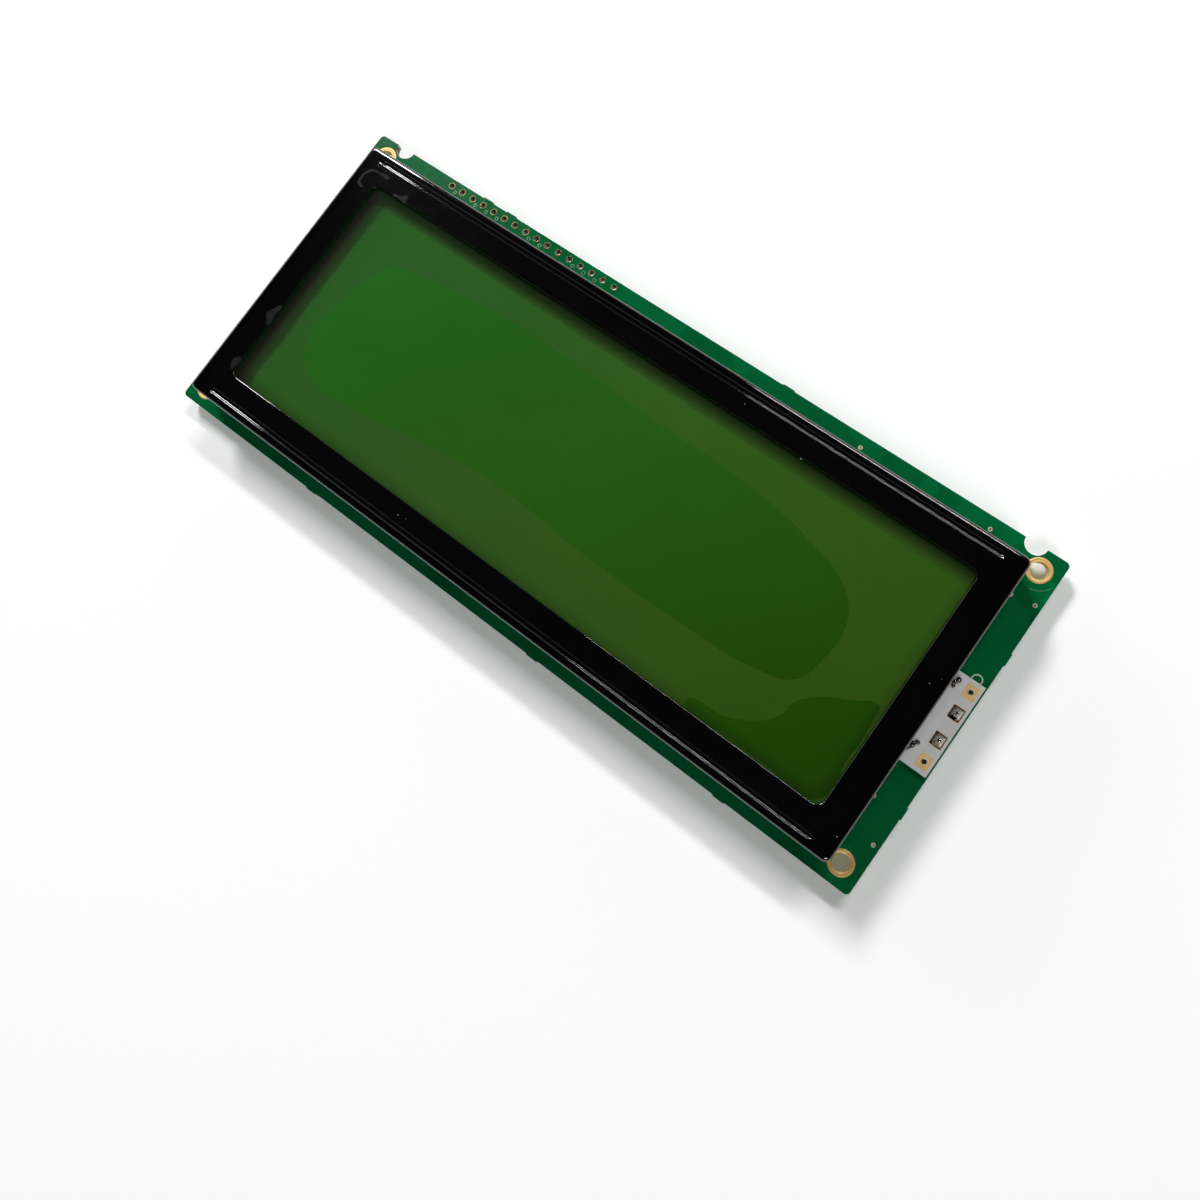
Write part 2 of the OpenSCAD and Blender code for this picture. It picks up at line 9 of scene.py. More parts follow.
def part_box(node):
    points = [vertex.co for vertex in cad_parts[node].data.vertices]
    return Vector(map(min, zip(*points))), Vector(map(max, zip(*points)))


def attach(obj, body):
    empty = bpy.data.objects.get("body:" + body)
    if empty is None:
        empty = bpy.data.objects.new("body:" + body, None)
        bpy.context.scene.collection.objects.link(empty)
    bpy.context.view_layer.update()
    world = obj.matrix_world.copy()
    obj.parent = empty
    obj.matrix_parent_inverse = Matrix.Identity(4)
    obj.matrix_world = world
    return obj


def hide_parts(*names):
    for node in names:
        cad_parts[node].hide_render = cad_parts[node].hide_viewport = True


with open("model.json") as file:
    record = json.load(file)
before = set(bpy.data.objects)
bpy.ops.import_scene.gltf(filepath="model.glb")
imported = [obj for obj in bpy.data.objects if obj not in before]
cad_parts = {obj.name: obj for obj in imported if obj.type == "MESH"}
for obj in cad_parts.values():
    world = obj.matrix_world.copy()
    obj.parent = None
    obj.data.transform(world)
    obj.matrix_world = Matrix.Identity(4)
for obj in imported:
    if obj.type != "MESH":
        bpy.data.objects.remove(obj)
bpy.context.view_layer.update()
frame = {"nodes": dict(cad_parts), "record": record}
mm = 0.001
slotOf = {part["node"]: part["material_slot"] for part in frame["record"]["subparts"]}
print("frame loaded with", len(frame["nodes"]), "nodes")

# levels and middles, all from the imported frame
boardLow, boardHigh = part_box("circuit_board")
bezelLow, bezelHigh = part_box("bezel")
cellLow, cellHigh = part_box("front_polarizer")
boardTop, boardBack = boardHigh.z, boardLow.z
faceZ, cellZ, lampZ = bezelHigh.z, cellHigh.z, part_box("lamp_board")[1].z
middleY = (bezelLow.y + bezelHigh.y) / 2
windowLap = 1.0 * mm   # the polarizer reaches this far under the bezel
windowHalfL = (cellHigh.x - cellLow.x) / 2 - windowLap
windowHalfW = (cellHigh.y - cellLow.y) / 2 - windowLap


# small helpers for node trees

def feed(tree, node, inputs):
    # a socket is linked, and anything else is set as a value
    for name, value in inputs.items():
        if isinstance(value, bpy.types.NodeSocket):
            tree.links.new(value, node.inputs[name])
        else:
            node.inputs[name].default_value = value


def addNode(tree, kind, inputs=None, **settings):
    node = tree.nodes.new(kind)
    for name, value in settings.items():
        setattr(node, name, value)
    feed(tree, node, inputs or {})
    return node


def mathNode(tree, operation, *values):
    return addNode(tree, "ShaderNodeMath", dict(enumerate(values)), operation=operation).outputs[0]


def mixColour(tree, factor, first, second):
    node = addNode(tree, "ShaderNodeMix", {0: factor, 6: first, 7: second}, data_type="RGBA")
    return node.outputs[2]


def rangeNode(tree, value, fromMin, fromMax, toMin=0.0, toMax=1.0, shape="LINEAR"):
    node = addNode(tree, "ShaderNodeMapRange", {
        "Value": value, "From Min": fromMin, "From Max": fromMax, "To Min": toMin, "To Max": toMax},
        interpolation_type=shape)
    return node.outputs[0]


def noiseNode(tree, place, scale, detail):
    node = addNode(tree, "ShaderNodeTexNoise", {"Vector": place, "Scale": scale, "Detail": detail})
    return node.outputs["Fac"]


def placeIn(tree):
    return addNode(tree, "ShaderNodeTexCoord").outputs["Object"]


def axesIn(tree):
    return addNode(tree, "ShaderNodeSeparateXYZ", {"Vector": placeIn(tree)}).outputs


def addSocket(group, label, way):
    kind = "NodeSocketColor" if label == "Colour" else "NodeSocketFloat"
    return group.interface.new_socket(name=label, in_out=way, socket_type=kind)


def openGroup(name, outputs, **inputs):
    group = bpy.data.node_groups.new(name, "ShaderNodeTree")
    for label, value in inputs.items():
        addSocket(group, label, "INPUT").default_value = value
    for label in outputs:
        addSocket(group, label, "OUTPUT")
    source = group.nodes.new("NodeGroupInput")
    target = group.nodes.new("NodeGroupOutput")
    return group, source.outputs, target.inputs


def useGroup(tree, name, **inputs):
    return addNode(tree, "ShaderNodeGroup", inputs, node_tree=bpy.data.node_groups[name]).outputs


# shared effects; a span is the stretch of noise that is spread over the whole range
effectForm = dict(
    driftDetail=4.0, driftSpan=(0.3, 0.7),
    grainDetail=5.0, grainSpan=(0.75, 1.25), cloudShare=0.06, cloudDetail=3.0,
    rubLines=((0.5, 40), (-0.9, 55)), rubDetail=2.0, rubSpan=(0.7, 0.78))   # turn and stretch of the rubs


def buildToneDrift():
    # slow light and dark drift over a colour
    group, given, made = openGroup(
        "toneDrift", ["Colour"], Colour=(0.5, 0.5, 0.5, 1), Scale=60, Amount=0.1)
    cloud = noiseNode(group, placeIn(group), given["Scale"], effectForm["driftDetail"])
    low = mathNode(group, "SUBTRACT", 1.0, given["Amount"])
    high = mathNode(group, "ADD", 1.0, given["Amount"])
    level = rangeNode(group, cloud, *effectForm["driftSpan"], low, high)
    tone = addNode(group, "ShaderNodeHueSaturation", {"Color": given["Colour"], "Value": level})
    group.links.new(tone.outputs[0], made["Colour"])


def buildSurfaceGrain():
    # fine grain, as a roughness between two limits and as a height
    group, given, made = openGroup("surfaceGrain", ["Rough", "Height"], Scale=1000, Low=0.3, High=0.5)
    place = placeIn(group)
    fine = noiseNode(group, place, given["Scale"], effectForm["grainDetail"])
    slow = mathNode(group, "MULTIPLY", given["Scale"], effectForm["cloudShare"])
    both = mathNode(group, "ADD", fine, noiseNode(group, place, slow, effectForm["cloudDetail"]))
    level = rangeNode(group, both, *effectForm["grainSpan"], given["Low"], given["High"])
    group.links.new(level, made["Rough"])
    group.links.new(fine, made["Height"])


def buildDustSpecks():
    # sparse round specks
    group, given, made = openGroup("dustSpecks", ["Mask"], Scale=300, Share=0.05, Size=0.06)
    cells = addNode(group, "ShaderNodeTexVoronoi", {"Vector": placeIn(group), "Scale": given["Scale"]})
    near = mathNode(group, "LESS_THAN", cells.outputs["Distance"], given["Size"])
    pick = addNode(group, "ShaderNodeSeparateColor", {"Color": cells.outputs["Color"]})
    some = mathNode(group, "LESS_THAN", pick.outputs[0], given["Share"])
    group.links.new(mathNode(group, "MULTIPLY", near, some), made["Mask"])


def buildFineScratches():
    # thin straight rubs in two directions
    group, given, made = openGroup("fineScratches", ["Mask"], Scale=200, Amount=0.5)
    place = placeIn(group)
    masks = []
    for turn, stretch in effectForm["rubLines"]:
        laid = addNode(group, "ShaderNodeMapping", {
            "Vector": place, "Rotation": (0, 0, turn), "Scale": (1, stretch, 1)})
        lines = noiseNode(group, laid.outputs[0], given["Scale"], effectForm["rubDetail"])
        masks.append(rangeNode(group, lines, *effectForm["rubSpan"]))
    both = mathNode(group, "MAXIMUM", *masks)
    group.links.new(mathNode(group, "MULTIPLY", both, given["Amount"]), made["Mask"])


for build in (buildToneDrift, buildSurfaceGrain, buildDustSpecks, buildFineScratches):
    build()
print("shared effects ready")


# materials: a look for each plain slot of the record, and lamp_gold for the lands on the lamp board;
# drift is its amount and scale, rough its two limits, and grain its scale and the strength of its relief

looks = {
    "board": dict(colour=(0.0008, 0.113, 0.032), drift=(0.16, 70),
                  rough=(0.09, 0.14), grain=(900, 0.06), gloss=0.3),
    "gold_plating": dict(colour=(0.7, 0.46, 0.17), drift=(0.12, 500),
                         rough=(0.38, 0.55), grain=(2600, 0.12), metallic=0.55),
    "lamp_gold": dict(colour=(0.95, 0.65, 0.29), drift=(0.1, 600),
                      rough=(0.4, 0.55), grain=(2600, 0.1), metallic=0.15),
    "tinned_copper": dict(colour=(0.62, 0.58, 0.46), drift=(0.1, 500),
                          rough=(0.35, 0.5), grain=(2600, 0.15), metallic=0.5),
    "bezel_steel": dict(colour=(0.0007, 0.0007, 0.0008), drift=(0.3, 120),
                        rough=(0.055, 0.06), grain=(1200, 0.0), gloss=0.95),
    "polarizer": dict(colour=(0.03, 0.08, 0.02), drift=(0.05, 40),
                      rough=(0.1, 0.16), grain=(600, 0.01), alpha=0.05),
    # dark: these glass layers show only as rims in the shade under the bezel, so their colour is painted
    # shade
    "cell_glass": dict(colour=(0.012, 0.022, 0.014), drift=(0.1, 200), rough=(0.05, 0.12), grain=(400, 0.0)),
    "liquid_crystal": dict(colour=(0.012, 0.02, 0.008), drift=(0.1, 200), rough=(0.2, 0.3), grain=(400, 0.0)),
    "seal_epoxy": dict(colour=(0.5, 0.47, 0.32), drift=(0.1, 300), rough=(0.4, 0.6), grain=(1500, 0.1)),
    "diffuser": dict(colour=(0.8, 0.82, 0.74), drift=(0.04, 60), rough=(0.5, 0.65), grain=(1800, 0.05)),
    "white_moulding": dict(colour=(0.78, 0.78, 0.74), drift=(0.05, 90),
                           rough=(0.4, 0.55), grain=(1400, 0.08)),
    "lamp_board": dict(colour=(0.73, 0.73, 0.73), drift=(0.07, 260), rough=(0.3, 0.45), grain=(1600, 0.08)),
    "lamp_chip": dict(colour=(0.75, 0.66, 0.25), drift=(0.1, 800), rough=(0.15, 0.3), grain=(1500, 0.05)),
    "solder": dict(colour=(0.5, 0.47, 0.44), drift=(0.2, 900),
                   rough=(0.04, 0.1), grain=(1800, 0.02), metallic=1.0),
    "silicon": dict(colour=(0.2, 0.2, 0.25), drift=(0.1, 600),
                    rough=(0.08, 0.16), grain=(1500, 0.02), metallic=1.0),
    "potting": dict(colour=(0.012, 0.012, 0.013), drift=(0.2, 300), rough=(0.14, 0.3), grain=(700, 0.12)),
    "resistor_body": dict(colour=(0.018, 0.018, 0.02), drift=(0.2, 700),
                          rough=(0.2, 0.32), grain=(2600, 0.08)),
    "capacitor_body": dict(colour=(0.42, 0.29, 0.18), drift=(0.12, 700),
                           rough=(0.4, 0.55), grain=(2600, 0.1)),
}
grainHeight = 0.1 * mm


def startMaterial(name):
    material = bpy.data.materials.new(name)
    material.use_nodes = True
    tree = material.node_tree
    tree.nodes.clear()
    shader = tree.nodes.new("ShaderNodeBsdfPrincipled")
    output = tree.nodes.new("ShaderNodeOutputMaterial")
    tree.links.new(shader.outputs[0], output.inputs["Surface"])
    return material, tree, shader


def dressMaterial(name, look):
    material, tree, shader = startMaterial(name)
    (amount, scale), (low, high), (fineness, relief) = look["drift"], look["rough"], look["grain"]
    tone = useGroup(tree, "toneDrift", Colour=(*look["colour"], 1), Scale=scale, Amount=amount)["Colour"]
    grain = useGroup(tree, "surfaceGrain", Scale=fineness, Low=low, High=high)
    feed(tree, shader, {
        "Base Color": tone, "Roughness": grain["Rough"], "Metallic": look.get("metallic", 0.0),
        "Alpha": look.get("alpha", 1.0), "Specular IOR Level": look.get("gloss", 0.5)})
    if relief:
        bump = addNode(tree, "ShaderNodeBump", {
            "Height": grain["Height"], "Strength": relief, "Distance": grainHeight})
        feed(tree, shader, {"Normal": bump.outputs[0]})
    return material, tree, shader, tone


maskForm = dict(
    blockScale=150, blockShare=0.45, copperShow=0.55,
    copperColour=(0.0015, 0.145, 0.045, 1),   # mask over copper is lighter
    edgeColour=(0.16, 0.36, 0.2, 1),          # bare glass fibre at the cut edges
    # walls of holes and notches inside the board are painted dark as their shade
    holeShadeColour=(0.03, 0.022, 0.01, 1), holeShadeInset=0.6 * mm,
    steep=0.5)   # faces whose normal rises less than this are walls


def boardMaterial():
    material, tree, shader, tone = dressMaterial("boardMask", looks["board"])
    blocks = addNode(tree, "ShaderNodeTexVoronoi", {"Vector": placeIn(tree), "Scale": maskForm["blockScale"]},
                     distance="CHEBYCHEV")
    pick = addNode(tree, "ShaderNodeSeparateColor", {"Color": blocks.outputs["Color"]})
    copper = mathNode(tree, "LESS_THAN", pick.outputs[0], maskForm["blockShare"])
    shown = mathNode(tree, "MULTIPLY", copper, maskForm["copperShow"])
    masked = mixColour(tree, shown, tone, maskForm["copperColour"])
    normal = addNode(tree, "ShaderNodeNewGeometry").outputs["Normal"]
    upright = addNode(tree, "ShaderNodeSeparateXYZ", {"Vector": normal}).outputs["Z"]
    side = mathNode(tree, "LESS_THAN", mathNode(tree, "ABSOLUTE", upright), maskForm["steep"])
    within = [mathNode(tree, "LESS_THAN", mathNode(tree, "ABSOLUTE", axis), reach - maskForm["holeShadeInset"])
              for axis, reach in zip(axesIn(tree), (boardHigh.x, boardHigh.y))]
    inside = mathNode(tree, "MULTIPLY", *within)
    # painted shade on the walls inside the board; the outer cut edges keep the glass fibre's own colour
    wall = mixColour(tree, inside, maskForm["edgeColour"], maskForm["holeShadeColour"])
    feed(tree, shader, {"Base Color": mixColour(tree, side, masked, wall)})
    return material


# dust and rubs on the bezel's paint
wearForm = dict(
    dustScale=110, dustShare=0.1, dustSize=0.016, dustColour=(0.2, 0.2, 0.2, 1),
    rubScale=90, rubAmount=0.25, rubColour=(0.008, 0.008, 0.009, 1))


def bezelMaterial():
    material, tree, shader, tone = dressMaterial("bezelPaint", looks["bezel_steel"])
    dust = useGroup(tree, "dustSpecks", Scale=wearForm["dustScale"], Share=wearForm["dustShare"],
                    Size=wearForm["dustSize"])["Mask"]
    rubs = useGroup(tree, "fineScratches", Scale=wearForm["rubScale"], Amount=wearForm["rubAmount"])["Mask"]
    worn = mixColour(tree, rubs, tone, wearForm["rubColour"])
    feed(tree, shader, {"Base Color": mixColour(tree, dust, worn, wearForm["dustColour"])})
    return material


# the green turns darker and more olive towards the lamp tongue, as painted shading of how light and view fall
# across the window
cellForm = dict(
    look=dict(looks["polarizer"], drift=(0.05, 45), rough=(0.35, 0.45), grain=(600, 0.02), alpha=1.0,
              gloss=0.0),   # glued to the glass, so it has no gloss of its own
    stops=((0.0, (0.0163, 0.155, 0.0167)), (0.5, (0.0238, 0.119, 0.0075)),
           (0.85, (0.0144, 0.0693, 0.0004)), (1.0, (0.0121, 0.0452, 0.0))),
    spanX=124 * mm, spanY=44 * mm, shareX=0.75,
    # painted shade under the bezel's edge: the rim is darkened, less so at the right and below
    rimShadeOut=1.2 * mm, rimShadeIn=2.4 * mm, rimShadeLevel=0.04, rimShadeEase=1.0 * mm)


def fromEdges(tree, axes, ease):
    # distance from the window's edges, longer by ease from the right and the lower one
    left = mathNode(tree, "ADD", axes["X"], windowHalfL)
    right = mathNode(tree, "SUBTRACT", windowHalfL + ease, axes["X"])
    top = mathNode(tree, "SUBTRACT", middleY + windowHalfW, axes["Y"])
    foot = mathNode(tree, "ADD", axes["Y"], windowHalfW + ease - middleY)
    ends = mathNode(tree, "MINIMUM", left, right)
    return mathNode(tree, "MINIMUM", ends, mathNode(tree, "MINIMUM", top, foot))


def cellMaterial():
    material, tree, _, tone = dressMaterial("cellGreen", cellForm["look"])
    axes = axesIn(tree)
    shareX, shareY = cellForm["shareX"], 1 - cellForm["shareX"]
    # painted shading: a ramp across the window, darker and more olive towards the tongue
    alongX = mathNode(tree, "MULTIPLY_ADD", axes["X"], shareX / cellForm["spanX"], 0.5)
    both = mathNode(tree, "MULTIPLY_ADD", axes["Y"], -shareY / cellForm["spanY"], alongX)
    ramp = addNode(tree, "ShaderNodeValToRGB", {"Fac": both})
    bands = ramp.color_ramp.elements
    while len(bands) < len(cellForm["stops"]):
        bands.new(0.5)
    for band, (place, colour) in zip(bands, cellForm["stops"]):
        band.position, band.color = place, (*colour, 1)
    # painted shade: the green is darkened near the window's edges and under the bezel
    rim = rangeNode(tree, fromEdges(tree, axes, cellForm["rimShadeEase"]), -cellForm["rimShadeOut"], cellForm["rimShadeIn"],
                    cellForm["rimShadeLevel"], 1.0, "SMOOTHSTEP")
    shaded = mixColour(tree, rim, (0, 0, 0, 1), ramp.outputs["Color"])
    feed(tree, tone.node, {"Colour": shaded})   # the drift lies over it
    return material


stripForm = dict(
    layerScale=1600.0, wobble=0.2, plainColour=(0.5, 0.3, 0.27, 1), carbonColour=(0.03, 0.03, 0.03, 1),
    grain=1500, rough=(0.55, 0.75))


def stripMaterial():
    # conductive and plain layers in turn
    material, tree, shader = startMaterial("elastomerLayers")
    layers = addNode(tree, "ShaderNodeTexWave", {
        "Vector": placeIn(tree), "Scale": stripForm["layerScale"], "Distortion": stripForm["wobble"]})
    tone = mixColour(tree, layers.outputs["Fac"], stripForm["plainColour"], stripForm["carbonColour"])
    low, high = stripForm["rough"]
    grain = useGroup(tree, "surfaceGrain", Scale=stripForm["grain"], Low=low, High=high)
    feed(tree, shader, {"Base Color": tone, "Roughness": grain["Rough"]})
    return material


filmIor = 1.45
filmLook = dict(colour=(0.85, 0.87, 0.87), drift=(0.08, 80),
                rough=(0.05, 0.09), grain=(300, 0.0), metallic=1.0)
hazeLook = dict(colour=(0.05, 0.0, 0.036), drift=(0.1, 40), rough=(0.4, 0.5), grain=(600, 0.0), gloss=0.0,
                rightSheenColour=(0.082, 0.145, 0.027),   # paler towards the tongue: a painted sheen, where the film catches more light
                # the fade is painted shade: the veil thins near the window's left and upper edges
                veil=0.165, fadeFrom=-0.2 * mm, fadeTo=2.2 * mm, shadeFadeEase=2.0 * mm)


def filmGloss(tree):
    return addNode(tree, "ShaderNodeFresnel", {"IOR": filmIor}).outputs[0]


def filmMaterial():
    # clear film: only its gloss is seen, weak from the front and strong at a low angle
    material, tree, shader, _ = dressMaterial("filmGloss", filmLook)
    feed(tree, shader, {"Alpha": filmGloss(tree)})
    return material


def hazeMaterial():
    # unstuck film: the same gloss, and a thin veil over what is below, paler towards the tongue as painted
    # sheen and thinned near the left and upper edges as painted shade
    material, tree, shader, tone = dressMaterial("filmHaze", hazeLook)
    axes = axesIn(tree)
    along = rangeNode(tree, axes["X"], -windowHalfL, windowHalfL)
    veilAndSheen = mixColour(tree, along, tone, (*hazeLook["rightSheenColour"], 1))
    # painted shade: the haze thins out near the window's left and upper edges, where the bezel shades it
    fade = rangeNode(tree, fromEdges(tree, axes, hazeLook["shadeFadeEase"]), hazeLook["fadeFrom"],
                     hazeLook["fadeTo"], shape="SMOOTHSTEP")
    veil = mathNode(tree, "ADD", filmGloss(tree), hazeLook["veil"])
    feed(tree, shader, {"Base Color": veilAndSheen, "Alpha": mathNode(tree, "MULTIPLY", veil, fade)})
    return material


viaForm = dict(headerSide=26 * mm, cover=0.92, coverColour=(0.004, 0.13, 0.045, 1))


def viaMaterial():
    # vias beside the pin header are under the mask, the others are bare
    material, tree, shader, tone = dressMaterial("viaPlating", looks["tinned_copper"])
    axes = axesIn(tree)
    upper = mathNode(tree, "GREATER_THAN", axes["Y"], viaForm["headerSide"])
    left = mathNode(tree, "LESS_THAN", axes["X"], 0.0)
    masked = mathNode(tree, "MULTIPLY", mathNode(tree, "MULTIPLY", upper, left), viaForm["cover"])
    feed(tree, shader, {"Base Color": mixColour(tree, masked, tone, viaForm["coverColour"])})
    return material


fluxForm = dict(fullTo=0.12 * mm, goneAt=0.7 * mm, colour=(0.06, 0.035, 0.018, 1))


def solderMaterial():
    # burnt flux at the foot, on the lamp board only
    material, tree, shader, tone = dressMaterial("solder", looks["solder"])
    height = axesIn(tree)["Z"]
    foot = rangeNode(tree, height, lampZ + fluxForm["fullTo"], lampZ + fluxForm["goneAt"], 1.0, 0.0)
    burnt = mathNode(tree, "MULTIPLY", foot, mathNode(tree, "GREATER_THAN", height, boardTop))
    feed(tree, shader, {"Base Color": mixColour(tree, burnt, tone, fluxForm["colour"])})
    return material


ownMaterial = ("board", "bezel_steel", "solder")
materials = {slot: dressMaterial(slot, look)[0] for slot, look in looks.items() if slot not in ownMaterial}
materials.update(
    board=boardMaterial(), bezel_steel=bezelMaterial(), elastomer=stripMaterial(), solder=solderMaterial(),
    clear_film=filmMaterial())

# finishes of single nodes and pieces
printLook = dict(colour=(0.62, 0.66, 0.5), drift=(0.12, 900), rough=(0.45, 0.6), grain=(2000, 0.1))
finishLooks = dict(
    # dull plating, painted far darker than gold as the shade that lies on the header lands
    headerPlatingShaded=dict(colour=(0.1, 0.08, 0.03), drift=(0.3, 900),
                       rough=(0.2, 0.4), grain=(2600, 0.25), metallic=0.9),
    filmFlap=dict(colour=(0.016, 0.016, 0.018), drift=(0.3, 400),
                  rough=(0.25, 0.4), grain=(1200, 0.05), alpha=0.75, gloss=0.06),
    lumpSolder=dict(looks["solder"], colour=(0.16, 0.13, 0.11)),
    trackMask=dict(looks["board"], colour=(0.002, 0.165, 0.06)),
    boardPrint=printLook,
    holePrint=dict(printLook, colour=(0.05, 0.19, 0.1)),
    # painted shade for the inside of small holes
    holePaintedShade=dict(printLook, colour=(0.012, 0.01, 0.008)),
    dustWhite=dict(printLook, colour=(0.35, 0.35, 0.33)))
finishes = {name: dressMaterial(name, look)[0] for name, look in finishLooks.items()}
finishes.update(cellGreen=cellMaterial(), filmHaze=hazeMaterial(), viaPlating=viaMaterial())
print("materials ready:", len(bpy.data.materials))

nodeFinish = dict(
    rear_polarizer=finishes["cellGreen"], header_lands=finishes["headerPlatingShaded"],
    lamp_lands=materials["lamp_gold"], via_lands=finishes["viaPlating"])
for nodeName, nodeObject in frame["nodes"].items():
    nodeObject.data.materials.clear()
    nodeObject.data.materials.append(nodeFinish.get(nodeName, materials[slotOf[nodeName]]))


# small helpers for meshes

def addObject(name, data):
    made = bpy.data.objects.new(name, data)
    bpy.context.scene.collection.objects.link(made)
    return made


def meshFrom(form, name):
    mesh = bpy.data.meshes.new(name)
    bmesh.ops.recalc_face_normals(form, faces=form.faces)
    form.to_mesh(mesh)
    form.free()
    return mesh


def makePiece(name, shape, material, replaces=(), sharp=40):
    # shape is a mesh, or a form to make one of
    mesh = meshFrom(shape, name) if isinstance(shape, bmesh.types.BMesh) else shape
    mesh.materials.clear()
    mesh.materials.append(material)
    mesh.polygons.foreach_set("use_smooth", [True] * len(mesh.polygons))
    mesh.set_sharp_from_angle(angle=math.radians(sharp))
    piece = addObject(name, mesh)
    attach(piece, "root")
    for node in replaces:
        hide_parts(node)
    return piece


def loft(form, rings, closed=False, caps="none"):
    # caps close none of the rings, the last one or both end ones
    rows = [[form.verts.new(point) for point in ring] for ring in rings]
    pairs = list(zip(rows, rows[1:])) + ([(rows[-1], rows[0])] if closed else [])
    for first, second in pairs:
        count = len(first)
        for i in range(count):
            form.faces.new((first[i], first[(i + 1) % count], second[(i + 1) % count], second[i]))
    if caps == "both":
        form.faces.new(list(reversed(rows[0])))
    if caps != "none":
        form.faces.new(rows[-1])


def quarter(steps):
    # angles from 0 to a right angle
    return [math.pi / 2 * i / steps for i in range(steps + 1)]


def circle(around):
    angles = [2 * math.pi * k / around for k in range(around)]
    return [(math.cos(a), math.sin(a)) for a in angles]


def ringAt(centre, radius, level, around):
    return [Vector((centre[0] + radius * c, centre[1] + radius * s, level)) for c, s in circle(around)]


# bezel: one folded sheet, swept round the window, with pressed beads and twisted tabs

bezelForm = dict(
    sheet=0.5 * mm, bend=0.7 * mm, corner=1.2 * mm, leastCorner=0.3 * mm,
    windowCorner=1.5 * mm, borderEnd=5.4 * mm, borderSide=6.05 * mm,
    beadInset=1.85 * mm, beadHalf=0.56 * mm, beadFlank=0.34 * mm, beadDepth=0.22 * mm, beadEnd=4.0 * mm,
    faceInset=2.7 * mm,                       # the plain face starts here, past the beads
    flat=0.03 * mm,                           # level strip that keeps a bend's shading off the face
    cutEdge=0.15 * mm, cutFlat=0.02 * mm, burr=0.06 * mm,
    underReach=1.0 * mm, underInset=0.3 * mm,
    cornerSteps=8, bendSteps=14, flankSteps=8, cutSteps=5,
    tongueHalf=8.7 * mm, tongueGap=0.3 * mm,
    tabWidth=3.0 * mm, tabNeck=0.3 * mm, tabCorner=0.08 * mm, tabTwist=35, tabSteps=8,
    tabCount=5, tabEnd=12.0 * mm, sideTab=17.0 * mm)
halfL = windowHalfL + bezelForm["borderEnd"]
halfW = windowHalfW + bezelForm["borderSide"]

# stops along a straight side, as shares of its half: close together at the bead ends and the tongue
stopForm = dict(
    plain=(0.0, 0.2, 0.4, 0.6, 0.8, 0.92), closeFrom=0.948, closeStep=0.0018, closeCount=15,
    last=(0.985, 1.0), tongueJump=2e-4, tongueLast=(0.7, 1.0))


def bothWays(half):
    return [-stop for stop in reversed(half[1:])] + half


def longSide():
    close = [stopForm["closeFrom"] + stopForm["closeStep"] * i for i in range(stopForm["closeCount"])]
    return bothWays([*stopForm["plain"], *close, *stopForm["last"]])


def endSide():
    tongue, jump = bezelForm["tongueHalf"] / (halfW - bezelForm["corner"]), stopForm["tongueJump"]
    return bothWays([0.0, tongue - jump, tongue + jump, *stopForm["tongueLast"]])


longStops, endStops = longSide(), endSide()


def roundRing(halfX, halfY, radius, level):
    # a rounded rectangle about the bezel's middle; level is a height or a function of x and y
    flatX, flatY = halfX - radius, halfY - radius
    arc = quarter(bezelForm["cornerSteps"])[1:-1]
    half = [(s * flatX, -halfY) for s in longStops]
    half += [(flatX + radius * math.sin(a), -flatY - radius * math.cos(a)) for a in arc]
    half += [(halfX, s * flatY) for s in endStops]
    half += [(flatX + radius * math.cos(a), flatY + radius * math.sin(a)) for a in arc]
    points = half + [(-x, -y) for x, y in half]   # the other half lies opposite
    return [Vector((x, middleY + y, level(x, y) if callable(level) else level)) for x, y in points]


def insetRing(inset, level):
    radius = max(bezelForm["corner"] - inset, bezelForm["leastCorner"])
    return roundRing(halfL - inset, halfW - inset, radius, level)


def windowRing(outset, level):
    radius = bezelForm["windowCorner"] + outset
    return roundRing(windowHalfL + outset, windowHalfW + outset, radius, level)


def faceLevel(x, y):
    # the face, sunk at the beads
    beadY = halfW - bezelForm["beadInset"]
    past = max(abs(x) - (halfL - bezelForm["beadEnd"] - bezelForm["beadHalf"]), 0)
    away = math.hypot(past, abs(y) - beadY)
    if away >= bezelForm["beadHalf"]:
        return faceZ
    share = min((bezelForm["beadHalf"] - away) / bezelForm["beadFlank"], 1)
    return faceZ - bezelForm["beadDepth"] * share * share * (3 - 2 * share)


def footLevel(x, y):
    # the wall's foot, raised over the tongue
    overTongue = x > halfL - bezelForm["bend"] and abs(y) < bezelForm["tongueHalf"]
    return lampZ + bezelForm["tongueGap"] if overTongue else boardTop


